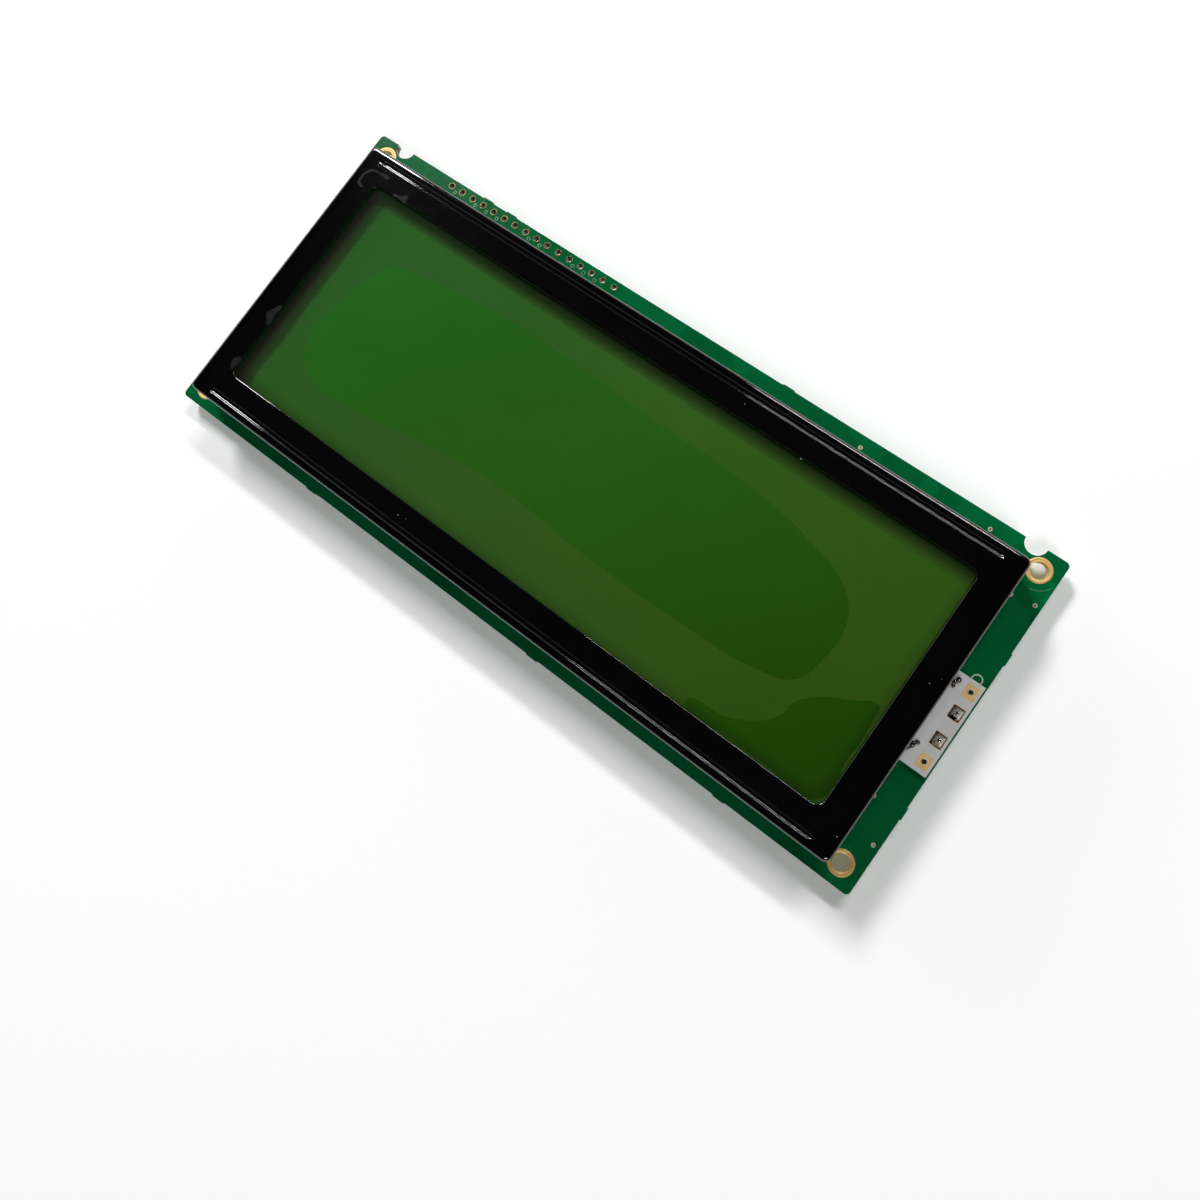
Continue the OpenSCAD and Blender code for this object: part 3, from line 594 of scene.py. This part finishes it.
def bezelRings():
    # up the wall, over the face and its beads to the window, and back along the underside
    bend, sheet, flat = bezelForm["bend"], bezelForm["sheet"], bezelForm["flat"]
    edge, burr, inner = bezelForm["cutEdge"], bezelForm["burr"], bend - sheet
    bendZ, underZ = faceZ - bend, faceZ - sheet
    wallZ = (boardTop + bendZ) / 2
    rings = [insetRing(0, footLevel), insetRing(0, wallZ)]
    for turn in quarter(bezelForm["bendSteps"]):
        rings.append(insetRing(bend * (1 - math.cos(turn)), bendZ + bend * math.sin(turn)))
    rings.append(insetRing(bend + flat, faceZ))
    steps = bezelForm["flankSteps"]
    flank = [bezelForm["beadHalf"] - bezelForm["beadFlank"] * i / steps for i in range(steps + 1)]
    flank = [flank[0] + flat, *flank, flank[-1] - flat]
    for away in [-a for a in flank] + flank[::-1]:
        rings.append(insetRing(bezelForm["beadInset"] + away, faceLevel))
    rings += [insetRing(bezelForm["faceInset"], faceZ), windowRing(edge + bezelForm["cutFlat"], faceZ)]
    for turn in quarter(bezelForm["cutSteps"]):
        rings.append(windowRing(edge * (1 - math.sin(turn)), faceZ - edge * (1 - math.cos(turn))))
    rings += [windowRing(0, underZ + burr), windowRing(burr, underZ)]
    rings += [windowRing(bezelForm["underReach"], underZ), insetRing(bend + bezelForm["underInset"], underZ)]
    for turn in reversed(quarter(bezelForm["cutSteps"])):
        rings.append(insetRing(bend - inner * math.cos(turn), bendZ + inner * math.sin(turn)))
    return rings + [insetRing(sheet, wallZ), insetRing(sheet, footLevel)]


def tabRings(place, turn):
    # straight through the board, then twisted down to the part's lowest level
    half, thick, corner = bezelForm["tabWidth"] / 2, bezelForm["sheet"] / 2, bezelForm["tabCorner"]
    outline = [(sx * (half - corner * a), sy * (thick - corner * b))
               for sx, sy, order in ((1, -1, 1), (1, 1, -1), (-1, 1, 1), (-1, -1, -1))
               for a, b in ((1, 0), (0, 1))[::order]]
    neckZ, count = boardBack - bezelForm["tabNeck"], bezelForm["tabSteps"]
    steps = [(boardTop, 0), (neckZ, 0)]
    steps += [(neckZ * (1 - i / count), -bezelForm["tabTwist"] * i / count) for i in range(1, count + 1)]
    rings = []
    for level, twist in steps:
        spin = Matrix.Rotation(math.radians(turn + twist), 3, "Z")
        rings.append([spin @ Vector((x, y, 0)) + Vector((*place, level)) for x, y in outline])
    return rings


def buildBezel():
    form = bmesh.new()
    loft(form, bezelRings(), closed=True)
    wallX, wallY = halfL - bezelForm["sheet"] / 2, halfW - bezelForm["sheet"] / 2
    span = 2 * (halfL - bezelForm["tabEnd"])
    last = bezelForm["tabCount"] - 1
    for side in (-1, 1):
        tabs = [((span * (i / last - 0.5), middleY + side * wallY), 0) for i in range(last + 1)]
        tabs += [((end * wallX, middleY + side * bezelForm["sideTab"]), 90) for end in (-1, 1)]
        for place, turn in tabs:
            loft(form, tabRings(place, turn), caps="both")
    makePiece("bezelSheet", form, materials["bezel_steel"], ["bezel"])


buildBezel()
print("bezel built")


# protective film, its unstuck haze in the window and its lifted flaps on the face

filmForm = dict(
    endInset=1.8 * mm, sideInset=2.45 * mm, corner=3.0 * mm, rest=0.02 * mm, trim=0.3 * mm,
    windowEdge=1.2 * mm, hazeInset=0.15 * mm, hazeCorner=0.3,
    flapThick=0.02 * mm, flapLift=2.5, curveSteps=10)

# outlines in millimetres from the board's middle: first the places where the film lies wet on the cell
stuckPatch = [
    (-54.1, -9.4), (-53.6, -2.8), (-51.6, 5.2), (-49.2, 9.4), (-42.5, 11.0), (-30, 12.7), (-14, 13.1),
    (6, 12.4), (24, 12.1), (38, 10.0), (47.2, 6.4), (50.1, 1.6), (50, -4), (48.2, -9.2), (42.9, -11.2),
    (30, -12.3), (9, -12.3), (-11, -11.3), (-25, -12.8), (-38, -15.0), (-49, -14.9)]
cornerPatch = [
    (36.6, -21.9), (43, -19.9), (47.4, -17.4), (49.5, -14.8), (50.1, -12.1), (52.4, -9.4), (56.6, -6.9),
    (60.9, -5.2), (61.1, -14), (60.6, -22.0), (52, -22.3), (44, -22.3)]
lifted = dict(
    crescent=[(-65.0, 18.9), (-65.15, 20.2), (-64.9, 21.4), (-64.2, 22.3), (-62.4, 22.55), (-60.2, 22.5),
              (-62.3, 22.3), (-63.8, 22.0), (-64.5, 21.2), (-64.75, 20.1), (-64.5, 19.2), (-63.6, 18.5),
              (-64.4, 18.5)],
    upper=[(-57.6, 20.5), (-56.2, 20.9), (-55.0, 21.7), (-54.7, 20.9), (-54.5, 20.45), (-56, 20.42)],
    left=[(-63.35, -10.2), (-62.7, -8.7), (-61.85, -7.6), (-61.85, -9.5), (-61.85, -11.9), (-62.5, -11.2)],
    corner=[(-62.9, -21.0), (-62.9, -20.0), (-62.2, -19.2), (-61.85, -19.3), (-61.85, -21.0), (-62.2, -21.9)])


def addOutline(curve, points, handle):
    spline = curve.splines.new("BEZIER")
    spline.bezier_points.add(len(points) - 1)
    spline.use_cyclic_u = True
    for knot, (x, y) in zip(spline.bezier_points, points):
        knot.co = (x, y, 0)
        knot.handle_left_type = knot.handle_right_type = handle


def flatMesh(name, outlines, level, thick=0.0):
    # filled between outlines: the first is the rim and the others are holes, or more rims
    curve = bpy.data.curves.new(name, "CURVE")
    curve.dimensions = "2D"
    curve.fill_mode = "BOTH"
    curve.resolution_u = filmForm["curveSteps"]
    curve.extrude = thick / 2
    for points, handle in outlines:
        addOutline(curve, points, handle)
    holder = bpy.data.objects.new(name + "Outline", curve)
    mesh = bpy.data.meshes.new_from_object(holder)
    bpy.data.objects.remove(holder)
    bpy.data.curves.remove(curve)
    mesh.transform(Matrix.Translation((0, 0, level)))
    return mesh


def smoothOutline(points):
    return [(x * mm, y * mm) for x, y in points], "AUTO"


wetOutlines = [smoothOutline(stuckPatch), smoothOutline(cornerPatch)]


def buildFilm():
    rest, trim, corner = filmForm["rest"], filmForm["trim"], filmForm["corner"]
    outX, outY = halfL - filmForm["endInset"], halfW - filmForm["sideInset"]
    rings = [
        roundRing(outX, outY, corner, faceZ + 2 * rest),
        roundRing(outX - trim, outY - trim, corner - trim, faceZ + rest),
        windowRing(filmForm["windowEdge"], faceZ + rest), windowRing(bezelForm["cutEdge"], faceZ + rest)]
    form = bmesh.new()
    loft(form, rings)
    wet = flatMesh("wetPatches", wetOutlines, cellZ + rest)
    form.from_mesh(wet)
    bpy.data.meshes.remove(wet)
    sheet = makePiece("filmSheet", form, materials["clear_film"], ["protective_film"])
    sheet.visible_shadow = False   # it is clear


def buildHaze():
    inset = filmForm["hazeInset"]
    left, right = inset - windowHalfL, windowHalfL - inset
    low, high = middleY - windowHalfW + inset, middleY + windowHalfW - inset
    cut = bezelForm["windowCorner"] * filmForm["hazeCorner"]
    rim = [(left + cut, low), (right - cut, low), (right, low + cut), (right, high - cut),
           (right - cut, high), (left + cut, high), (left, high - cut), (left, low + cut)]
    mesh = flatMesh("filmHaze", [(rim, "VECTOR"), *wetOutlines], cellZ + filmForm["rest"])
    haze = makePiece("filmHaze", mesh, finishes["filmHaze"])
    haze.visible_shadow = False


def buildFlaps():
    level = faceZ + filmForm["flapLift"] * filmForm["rest"]
    for label, points in lifted.items():
        mesh = flatMesh("film" + label.capitalize(), [smoothOutline(points)], level, filmForm["flapThick"])
        makePiece("filmFlap." + label, mesh, finishes["filmFlap"])


# the clear plates under the film: only their rims under the bezel, dark as painted shade there, so that the
# window stays clear

plateForm = dict(nodes=("front_glass", "liquid_crystal", "rear_glass"), reach=0.3 * mm)   # past the window


def buildPlates():
    reach = Vector((windowHalfL + plateForm["reach"], windowHalfW + plateForm["reach"], 0))
    middle = Vector((0, middleY, 0))
    for node in plateForm["nodes"]:
        low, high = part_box(node)
        outer, inner = (low, high), (middle - reach, middle + reach)
        rings = []
        for (near, far), level in ((outer, low.z), (outer, high.z), (inner, high.z), (inner, low.z)):
            rings.append([Vector((x, y, level)) for x, y in (
                (near.x, near.y), (far.x, near.y), (far.x, far.y), (near.x, far.y))])
        form = bmesh.new()
        loft(form, rings, closed=True)
        name = node.split("_")[0] + node.split("_")[1].capitalize() + "Rim"
        makePiece(name, form, materials[slotOf[node]], [node])


# dust on the face: place and length of each flake in mm, and its turn
flakeForm = dict(
    flakes=[((64.6, 2.02), 0.26, 20), ((65.75, 3.5), 0.16, 75), ((66.0, -24.52), 0.3, 140),
            ((-19.92, -25.08), 0.34, 10), ((-18.33, -24.82), 0.2, 60), ((17.15, 22.74), 0.24, 100),
            ((29.69, 20.1), 0.4, 30), ((61.75, -21.52), 0.18, 0)],
    outline=[(-0.5, 0.02), (-0.2, -0.16), (0.25, -0.13), (0.5, 0.05), (0.2, 0.17), (-0.25, 0.14)],
    steps=((1, 0), (0.8, 0.02), (0.35, 0.035)))   # share of the outline, and height in mm


def buildFlakes():
    form = bmesh.new()
    for (x, y), length, turn in flakeForm["flakes"]:
        spin = Matrix.Rotation(math.radians(turn), 3, "Z")
        middle = Vector((x * mm, y * mm, faceZ + 2 * filmForm["rest"]))
        rings = [[middle + spin @ Vector((a * share, b * share, 0)) * length * mm + Vector((0, 0, lift * mm))
                  for a, b in flakeForm["outline"]] for share, lift in flakeForm["steps"]]
        loft(form, rings, caps="both")
    makePiece("dustFlakes", form, finishes["dustWhite"])


buildPlates()
buildFlakes()
buildFilm()
buildHaze()
buildFlaps()
print("film built")


# solder on the tongue and behind the board

solderForm = dict(
    pad=dict(halfX=1.0 * mm, halfY=1.125 * mm, height=1.15 * mm, squareness=14),
    cone=dict(halfX=1.1 * mm, halfY=1.1 * mm, height=1.0 * mm, squareness=2),   # 2 is round
    pinSpread=2.5 * mm, topRadius=0.3 * mm, rise=1.35, squareEase=0.4, steps=14, around=64,
    tip=((0.75, 0.07), (0.35, 0.11)))   # rounded over the pin: share of the radius, and of the height
landLow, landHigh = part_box("lamp_lands")
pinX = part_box("lamp_pins")[0].x / 2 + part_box("lamp_pins")[1].x / 2


def heapRings(place, direction, halfX, halfY, height, squareness):
    # a hollow-sided heap that turns from the pad's outline to a round top
    top, around = solderForm["topRadius"], solderForm["around"]
    rings = []
    for i in range(solderForm["steps"] + 1):
        t = i / solderForm["steps"]
        fall = (1 - t) ** solderForm["rise"]
        power = 2 / (2 + (squareness - 2) * (1 - t) ** solderForm["squareEase"])
        reachX, reachY = top + (halfX - top) * fall, top + (halfY - top) * fall
        rings.append([place + Vector((
            reachX * math.copysign(abs(c) ** power, c), reachY * math.copysign(abs(s) ** power, s),
            direction * height * t)) for c, s in circle(around)])
    for share, lift in solderForm["tip"]:
        rings.append(ringAt(place, top * share, place.z + direction * height * (1 + lift), around))
    return rings


def buildPinSolder():
    form = bmesh.new()
    for side in (-1, 1):
        y = middleY + side * solderForm["pinSpread"]
        onPad, behind = Vector((pinX, y, landHigh.z)), Vector((pinX, y, boardBack))
        loft(form, heapRings(onPad, 1, **solderForm["pad"]), caps="both")
        loft(form, heapRings(behind, -1, **solderForm["cone"]), caps="both")
    makePiece("pinSolder", form, materials["solder"], ["lamp_pin_solder"], sharp=60)


# lumps beside the bezel, joined by one skin: middle of each ball along x and y, and its radii, in mm
lumpForm = dict(
    balls=[((68.62, 5.95), (0.46, 0.44, 0.46)), ((68.25, 5.25), (0.36, 0.52, 0.34)),
           ((68.4, 4.7), (0.34, 0.3, 0.26)), ((68.75, -5.75), (0.42, 0.36, 0.34)),
           ((68.3, -6.45), (0.42, 0.62, 0.4)), ((68.0, -7.2), (0.3, 0.5, 0.3))],
    lift=0.55, voxel=0.045 * mm, easeCount=8)   # lift: share of the upright radius


def buildLumps():
    form = bmesh.new()
    for (x, y), radii in lumpForm["balls"]:
        ball = bmesh.ops.create_icosphere(form, subdivisions=3, radius=1)
        place = Matrix.Translation((x * mm, y * mm, lampZ + radii[2] * lumpForm["lift"] * mm))
        stretch = Matrix.Diagonal((*[r * mm for r in radii], 1))
        bmesh.ops.transform(form, matrix=place @ stretch, verts=ball["verts"])
    lumps = makePiece("edgeLumps", form, finishes["lumpSolder"], ["edge_solder"])
    skin = lumps.modifiers.new("skin", "REMESH")
    skin.mode, skin.voxel_size, skin.use_smooth_shade = "VOXEL", lumpForm["voxel"], True
    ease = lumps.modifiers.new("ease", "SMOOTH")
    ease.iterations = lumpForm["easeCount"]


buildPinSolder()
buildLumps()
print("solder built")


# eyelets in the corner holes: a rolled rim round a plated bore, as radius and height above the mask in mm
eyeletForm = dict(
    around=72, inset=2.15 * mm,
    profile=((2.15, 0.0), (2.12, 0.035), (2.02, 0.055), (1.9, 0.058), (1.76, 0.05), (1.66, 0.03),
             (1.6, 0.012), (1.55, 0.02), (1.5, 0.045), (1.46, 0.05), (1.42, 0.02), (1.4, -0.08), (1.4, -0.5)))
eyeletLow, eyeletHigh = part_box("mount_hole_lands")


def buildEyelets():
    inset, around, profile = eyeletForm["inset"], eyeletForm["around"], eyeletForm["profile"]
    form = bmesh.new()
    for x in (eyeletLow.x + inset, eyeletHigh.x - inset):
        for y in (eyeletLow.y + inset, eyeletHigh.y - inset):
            front = [ringAt((x, y), r * mm, boardTop + z * mm, around) for r, z in profile]
            back = [ringAt((x, y), r * mm, boardBack - z * mm, around) for r, z in reversed(profile)]
            loft(form, front + back)
    makePiece("holeEyelets", form, materials["gold_plating"], ["mount_hole_lands"])


# spare holes in the two outer lands: a thin rim round a funnel painted dark as the shade inside the hole
spareForm = dict(
    padY=2.4 * mm, around=32, rim=0.42 * mm, hole=0.3 * mm, depth=0.35 * mm,
    rimProfile=((0.1, 0.0), (0.06, 0.03), (-0.02, 0.03), (-0.06, -0.02)),   # past the rim, and up, in mm
    lip=0.05 * mm, lipDepth=0.02 * mm, taper=0.9)


def buildSpareHoles():
    rims, shadeFunnels = bmesh.new(), bmesh.new()
    rim, hole, depth, around = spareForm["rim"], spareForm["hole"], spareForm["depth"], spareForm["around"]
    funnel = ((rim - spareForm["lip"], spareForm["lipDepth"]), (hole, depth / 2),
              (hole * spareForm["taper"], depth))
    for y in (landLow.y + spareForm["padY"] / 2, landHigh.y - spareForm["padY"] / 2):
        loft(rims, [ringAt((pinX, y), rim + grow * mm, landHigh.z + lift * mm, around)
                    for grow, lift in spareForm["rimProfile"]])
        loft(shadeFunnels, [ringAt((pinX, y), radius, landHigh.z - sink, around) for radius, sink in funnel],
             caps="last")
    makePiece("spareRims", rims, materials["tinned_copper"])
    makePiece("spareShadeFunnels", shadeFunnels, finishes["holePaintedShade"])


buildEyelets()
buildSpareHoles()
print("eyelets and holes built")


# tracks behind the board, under the mask: from the pin header and the dies to the rows of contacts
trackForm = dict(
    width=0.34 * mm, thick=0.03 * mm, topShare=0.8, leastMitre=0.5,
    headerLand=1.35 * mm, headerCount=16, headerGap=0.7 * mm, fanPitch=0.62 * mm, fanGap=1.0 * mm,
    fanTuck=0.3 * mm, busTuck=0.6 * mm,   # how far a track runs in under a dome
    busCount=7, busPitch=0.8 * mm, rowY=-24.2 * mm, rowPitch=1.5 * mm, rowCount=20, lowPitch=0.6 * mm,
    viaRadius=0.32 * mm, viaAround=16,
    viaProfile=((1, 0), (0.95, 1.1), (0.35, 1.1), (0.3, 0.2)))   # shares of the radius and the thickness


def addRibbon(form, points):
    # a flat strip along a line of points, with a narrower top
    points = [Vector((*point, boardBack)) for point in points]
    ways = [(end - start).normalized() for start, end in zip(points, points[1:])]
    drop = Vector((0, 0, -trackForm["thick"]))
    rings = []
    for point, before, after in zip(points, ways[:1] + ways, ways + ways[-1:]):
        ahead = (before + after).normalized()
        mitre = max(ahead.dot(after), trackForm["leastMitre"])
        across = Vector((-ahead.y, ahead.x, 0)) * trackForm["width"] / 2 / mitre
        top = across * trackForm["topShare"]
        rings.append([point - across, point + across, point + top + drop, point - top + drop])
    loft(form, rings, caps="both")


def fanLine(start, end, slantEnd):
    # down, across at 45 degrees so as to end at the height slantEnd, and down again
    slide = abs(end[0] - start[0])
    turn = math.copysign(slide, start[1] - slantEnd)
    return [start, (start[0], slantEnd + turn), (end[0], slantEnd), end]


def centred(count):
    return [i - (count - 1) / 2 for i in range(count)]


def findDomes():
    # middle and radius of each dome over a die, from left to right
    domes = []
    for node in ("controller_glob_top", "driver_glob_tops"):
        low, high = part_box(node)
        radius, y = (high.y - low.y) / 2, (low.y + high.y) / 2
        domes.append((low.x + radius, y, radius))
        if high.x - low.x > 3 * radius:   # two domes in one node
            domes.append((high.x - radius, y, radius))
    return sorted(domes)


def addHeaderTracks(form, x, y, radius):
    low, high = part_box("header_lands")
    land, count = trackForm["headerLand"], trackForm["headerCount"]
    pitch = (high.x - low.x - land) / (count - 1)
    startY = (low.y + high.y) / 2 - trackForm["headerGap"]
    for i, place in enumerate(centred(count)):
        aside = place * trackForm["fanPitch"]
        endY = y + math.sqrt(radius ** 2 - aside ** 2) - trackForm["fanTuck"]
        start, end = (low.x + land / 2 + i * pitch, startY), (x + aside, endY)
        addRibbon(form, fanLine(start, end, y + radius + trackForm["fanGap"]))


def addContactRow(form, x, y, radius):
    around, thick = trackForm["viaAround"], trackForm["thick"]
    for place in centred(trackForm["rowCount"]):
        aside = place * trackForm["lowPitch"]
        contact = (x + place * trackForm["rowPitch"], trackForm["rowY"])
        end = (x + aside, y - math.sqrt(radius ** 2 - aside ** 2) + trackForm["fanTuck"])
        addRibbon(form, fanLine(contact, end, y - radius - trackForm["fanGap"]))
        loft(form, [ringAt(contact, trackForm["viaRadius"] * share, boardBack - thick * lift, around)
                    for share, lift in trackForm["viaProfile"]], caps="last")


def buildTracks(domes):
    form = bmesh.new()
    addHeaderTracks(form, *domes[0])
    tuck = trackForm["busTuck"]
    for (x, y, radius), (nextX, _, nextRadius) in zip(domes, domes[1:]):
        for place in centred(trackForm["busCount"]):
            level = y + place * trackForm["busPitch"]
            addRibbon(form, [(x + radius - tuck, level), (nextX - nextRadius + tuck, level)])
    for dome in domes:
        addContactRow(form, *dome)
    makePiece("backTracks", form, finishes["trackMask"])


# print on the board: an open ring at the tongue, an arc beside the upper hole and rings round the domes
printForm = dict(
    thick=0.03 * mm, topShare=0.6,
    ringPlace=(70.96 * mm, 7.67 * mm), ringRadius=0.82 * mm, ringWidth=0.22 * mm, ringTurn=(-22, 202),
    arcRadius=3.3 * mm, arcWidth=0.1 * mm, arcTurn=(-87, -26), arcSteps=36,
    domeGap=0.55 * mm, domeWidth=0.22 * mm, domeSteps=96)


def buildArc(name, finish, centre, radius, width, thick, turn, level, steps):
    form = bmesh.new()
    start, end = turn
    up = Vector((0, 0, thick))
    rings = []
    for i in range(steps + 1):
        a = math.radians(start + (end - start) * i / steps)
        out = Vector((math.cos(a), math.sin(a), 0))
        middle = Vector((*centre, level)) + out * radius
        half = out * width / 2
        top = half * printForm["topShare"]
        rings.append([middle - half, middle + half, middle + top + up, middle - top + up])
    loft(form, rings, caps="both")
    makePiece(name, form, finishes[finish])


def buildPrint():
    thick, steps = printForm["thick"], printForm["arcSteps"]
    buildArc("openRing", "boardPrint", printForm["ringPlace"], printForm["ringRadius"],
             printForm["ringWidth"], thick, printForm["ringTurn"], boardTop, steps)
    hole = (eyeletHigh.x - eyeletForm["inset"], eyeletHigh.y - eyeletForm["inset"])
    buildArc("holeArc", "holePrint", hole, printForm["arcRadius"], printForm["arcWidth"],
             thick / 2, printForm["arcTurn"], boardTop, steps)
    domes = findDomes()
    buildTracks(domes)
    for count, (x, y, radius) in enumerate(domes):
        buildArc("chipRing." + str(count), "boardPrint", (x, y), radius + printForm["domeGap"],
                 printForm["domeWidth"], -2 * thick, (0, 360), boardBack, printForm["domeSteps"])


buildPrint()
print("tracks and print on the board built")


# floor, lights and camera

stageForm = dict(
    floorColour=(0.97, 0.97, 0.97, 1), floorRough=0.8, lift=0.04, size=2.0, fadeFrom=0.35, fadeTo=0.8,
    horizon=0.45, zenith=0.012, low=0.25, high=0.55, brightWay=(-0.7, 0.7, 0), even=0.82, lean=0.4,
    nadir=7.0, nadirFrom=-0.2)   # the light from below, for the underside


def buildFloor():
    form = bmesh.new()
    bmesh.ops.create_grid(form, x_segments=1, y_segments=1, size=stageForm["size"] / 2)
    mesh = bpy.data.meshes.new("floor")
    form.to_mesh(mesh)
    form.free()
    material, tree, shader = startMaterial("floorPaper")
    under = addNode(tree, "ShaderNodeNewGeometry").outputs["Backfacing"]
    rays = addNode(tree, "ShaderNodeLightPath").outputs
    seen = mathNode(tree, "MAXIMUM", rays["Is Camera Ray"],
                    mathNode(tree, "MAXIMUM", rays["Is Glossy Ray"], rays["Is Transmission Ray"]))
    # open from below and to light from below, so that the underside can be looked at
    gone = mathNode(tree, "MAXIMUM", under, rays["Is Shadow Ray"])
    away = addNode(tree, "ShaderNodeVectorMath", {0: placeIn(tree)}, operation="LENGTH").outputs["Value"]
    fade = rangeNode(tree, away, stageForm["fadeFrom"], stageForm["fadeTo"], 1.0, 0.0,
                     "SMOOTHSTEP")   # into the white behind it
    feed(tree, shader, {
        "Base Color": stageForm["floorColour"], "Roughness": stageForm["floorRough"],
        "Specular IOR Level": 0.0, "Emission Color": (1, 1, 1, 1),
        "Emission Strength": mathNode(tree, "MULTIPLY", seen, stageForm["lift"]),
        "Alpha": mathNode(tree, "MULTIPLY", fade, mathNode(tree, "SUBTRACT", 1.0, gone))})
    mesh.materials.append(material)
    floor = addObject("floor", mesh)


def buildWorld():
    # a light tent: bright round the horizon, dark overhead and lit from below
    world = bpy.data.worlds.new("softTent")
    bpy.context.scene.world = world
    world.use_nodes = True
    tree = world.node_tree
    tree.nodes.clear()
    way = addNode(tree, "ShaderNodeTexCoord").outputs["Generated"]
    height = addNode(tree, "ShaderNodeSeparateXYZ", {"Vector": way}).outputs["Z"]
    level = rangeNode(tree, height, stageForm["low"], stageForm["high"], stageForm["horizon"],
                      stageForm["zenith"], "SMOOTHSTEP")
    toward = addNode(tree, "ShaderNodeVectorMath", {0: way, 1: stageForm["brightWay"]},
                     operation="DOT_PRODUCT").outputs["Value"]
    lean = mathNode(tree, "MULTIPLY_ADD", toward, stageForm["lean"], stageForm["even"])
    ground = rangeNode(tree, height, stageForm["nadirFrom"], 0.0, stageForm["nadir"], 1.0)
    strength = mathNode(tree, "MULTIPLY", mathNode(tree, "MULTIPLY", level, lean), ground)
    # white behind the object, and in its gloss below the horizon
    rays = addNode(tree, "ShaderNodeLightPath").outputs
    mirrored = mathNode(tree, "MAXIMUM", rays["Is Glossy Ray"], rays["Is Transmission Ray"])
    below = mathNode(tree, "LESS_THAN", height, 0.0)
    seen = mathNode(tree, "MAXIMUM", rays["Is Camera Ray"], mathNode(tree, "MULTIPLY", mirrored, below))
    shown = addNode(tree, "ShaderNodeMix", {0: seen, 2: strength, 3: 1.0}, data_type="FLOAT").outputs[0]
    back = addNode(tree, "ShaderNodeBackground", {"Color": (1, 1, 1, 1), "Strength": shown})
    addNode(tree, "ShaderNodeOutputWorld", {"Surface": back.outputs[0]})


# soft lamps: way from the board, distance in metres, length along x and width in metres, power
lampForm = dict(
    keyLamp=((-0.6, 0.4, 0.69), 1.6, (0.24, 0.46), 18.0),
    backLamp=((-0.02, 0.62, 0.78), 1.6, (0.48, 0.1), 7.5),
    sideLamp=((0.45, -0.45, 0.77), 1.6, (0.5, 0.5), 6.6),
    leftLamp=((-0.93, 0.08, 0.36), 1.6, (0.3, 0.6), 2.0))


def placed(right, up, back, place):
    # a lamp or a camera looks along the way opposite to back
    return Matrix.Translation(place) @ Matrix((right, up, back)).transposed().to_4x4()


def buildLamps():
    for name, (way, far, size, power) in lampForm.items():
        data = bpy.data.lights.new(name, "AREA")
        data.shape, data.energy = "RECTANGLE", power
        data.size, data.size_y = size
        back = Vector(way).normalized()
        across = (Vector((1, 0, 0)) - back * back.x).normalized()
        addObject(name, data).matrix_world = placed(across, back.cross(across), back, back * far)


# viewpoint of the photo, above the board's front
cameraForm = dict(
    place=(48.93 * mm, -17.07 * mm, 176.45 * mm), right=(0.79431, 0.58522, -0.16307),
    back=(0.25673, -0.08006, 0.96316), lens=31.86, sensor=36.0, shift=(0.00917, -0.0925), clip=(0.01, 20))


def buildCamera():
    data = bpy.data.cameras.new("viewpoint")
    data.sensor_fit, data.sensor_width, data.lens = "HORIZONTAL", cameraForm["sensor"], cameraForm["lens"]
    data.shift_x, data.shift_y = cameraForm["shift"]
    data.clip_start, data.clip_end = cameraForm["clip"]
    camera = addObject("viewpoint", data)
    back = Vector(cameraForm["back"]).normalized()
    up = back.cross(Vector(cameraForm["right"])).normalized()
    place = Vector(cameraForm["place"]) + Vector((0, 0, boardTop))
    camera.matrix_world = placed(up.cross(back), up, back, place)
    bpy.context.scene.camera = camera


buildFloor()
buildWorld()
buildLamps()
buildCamera()
bpy.context.scene.view_settings.view_transform = "Standard"
print("stage built")
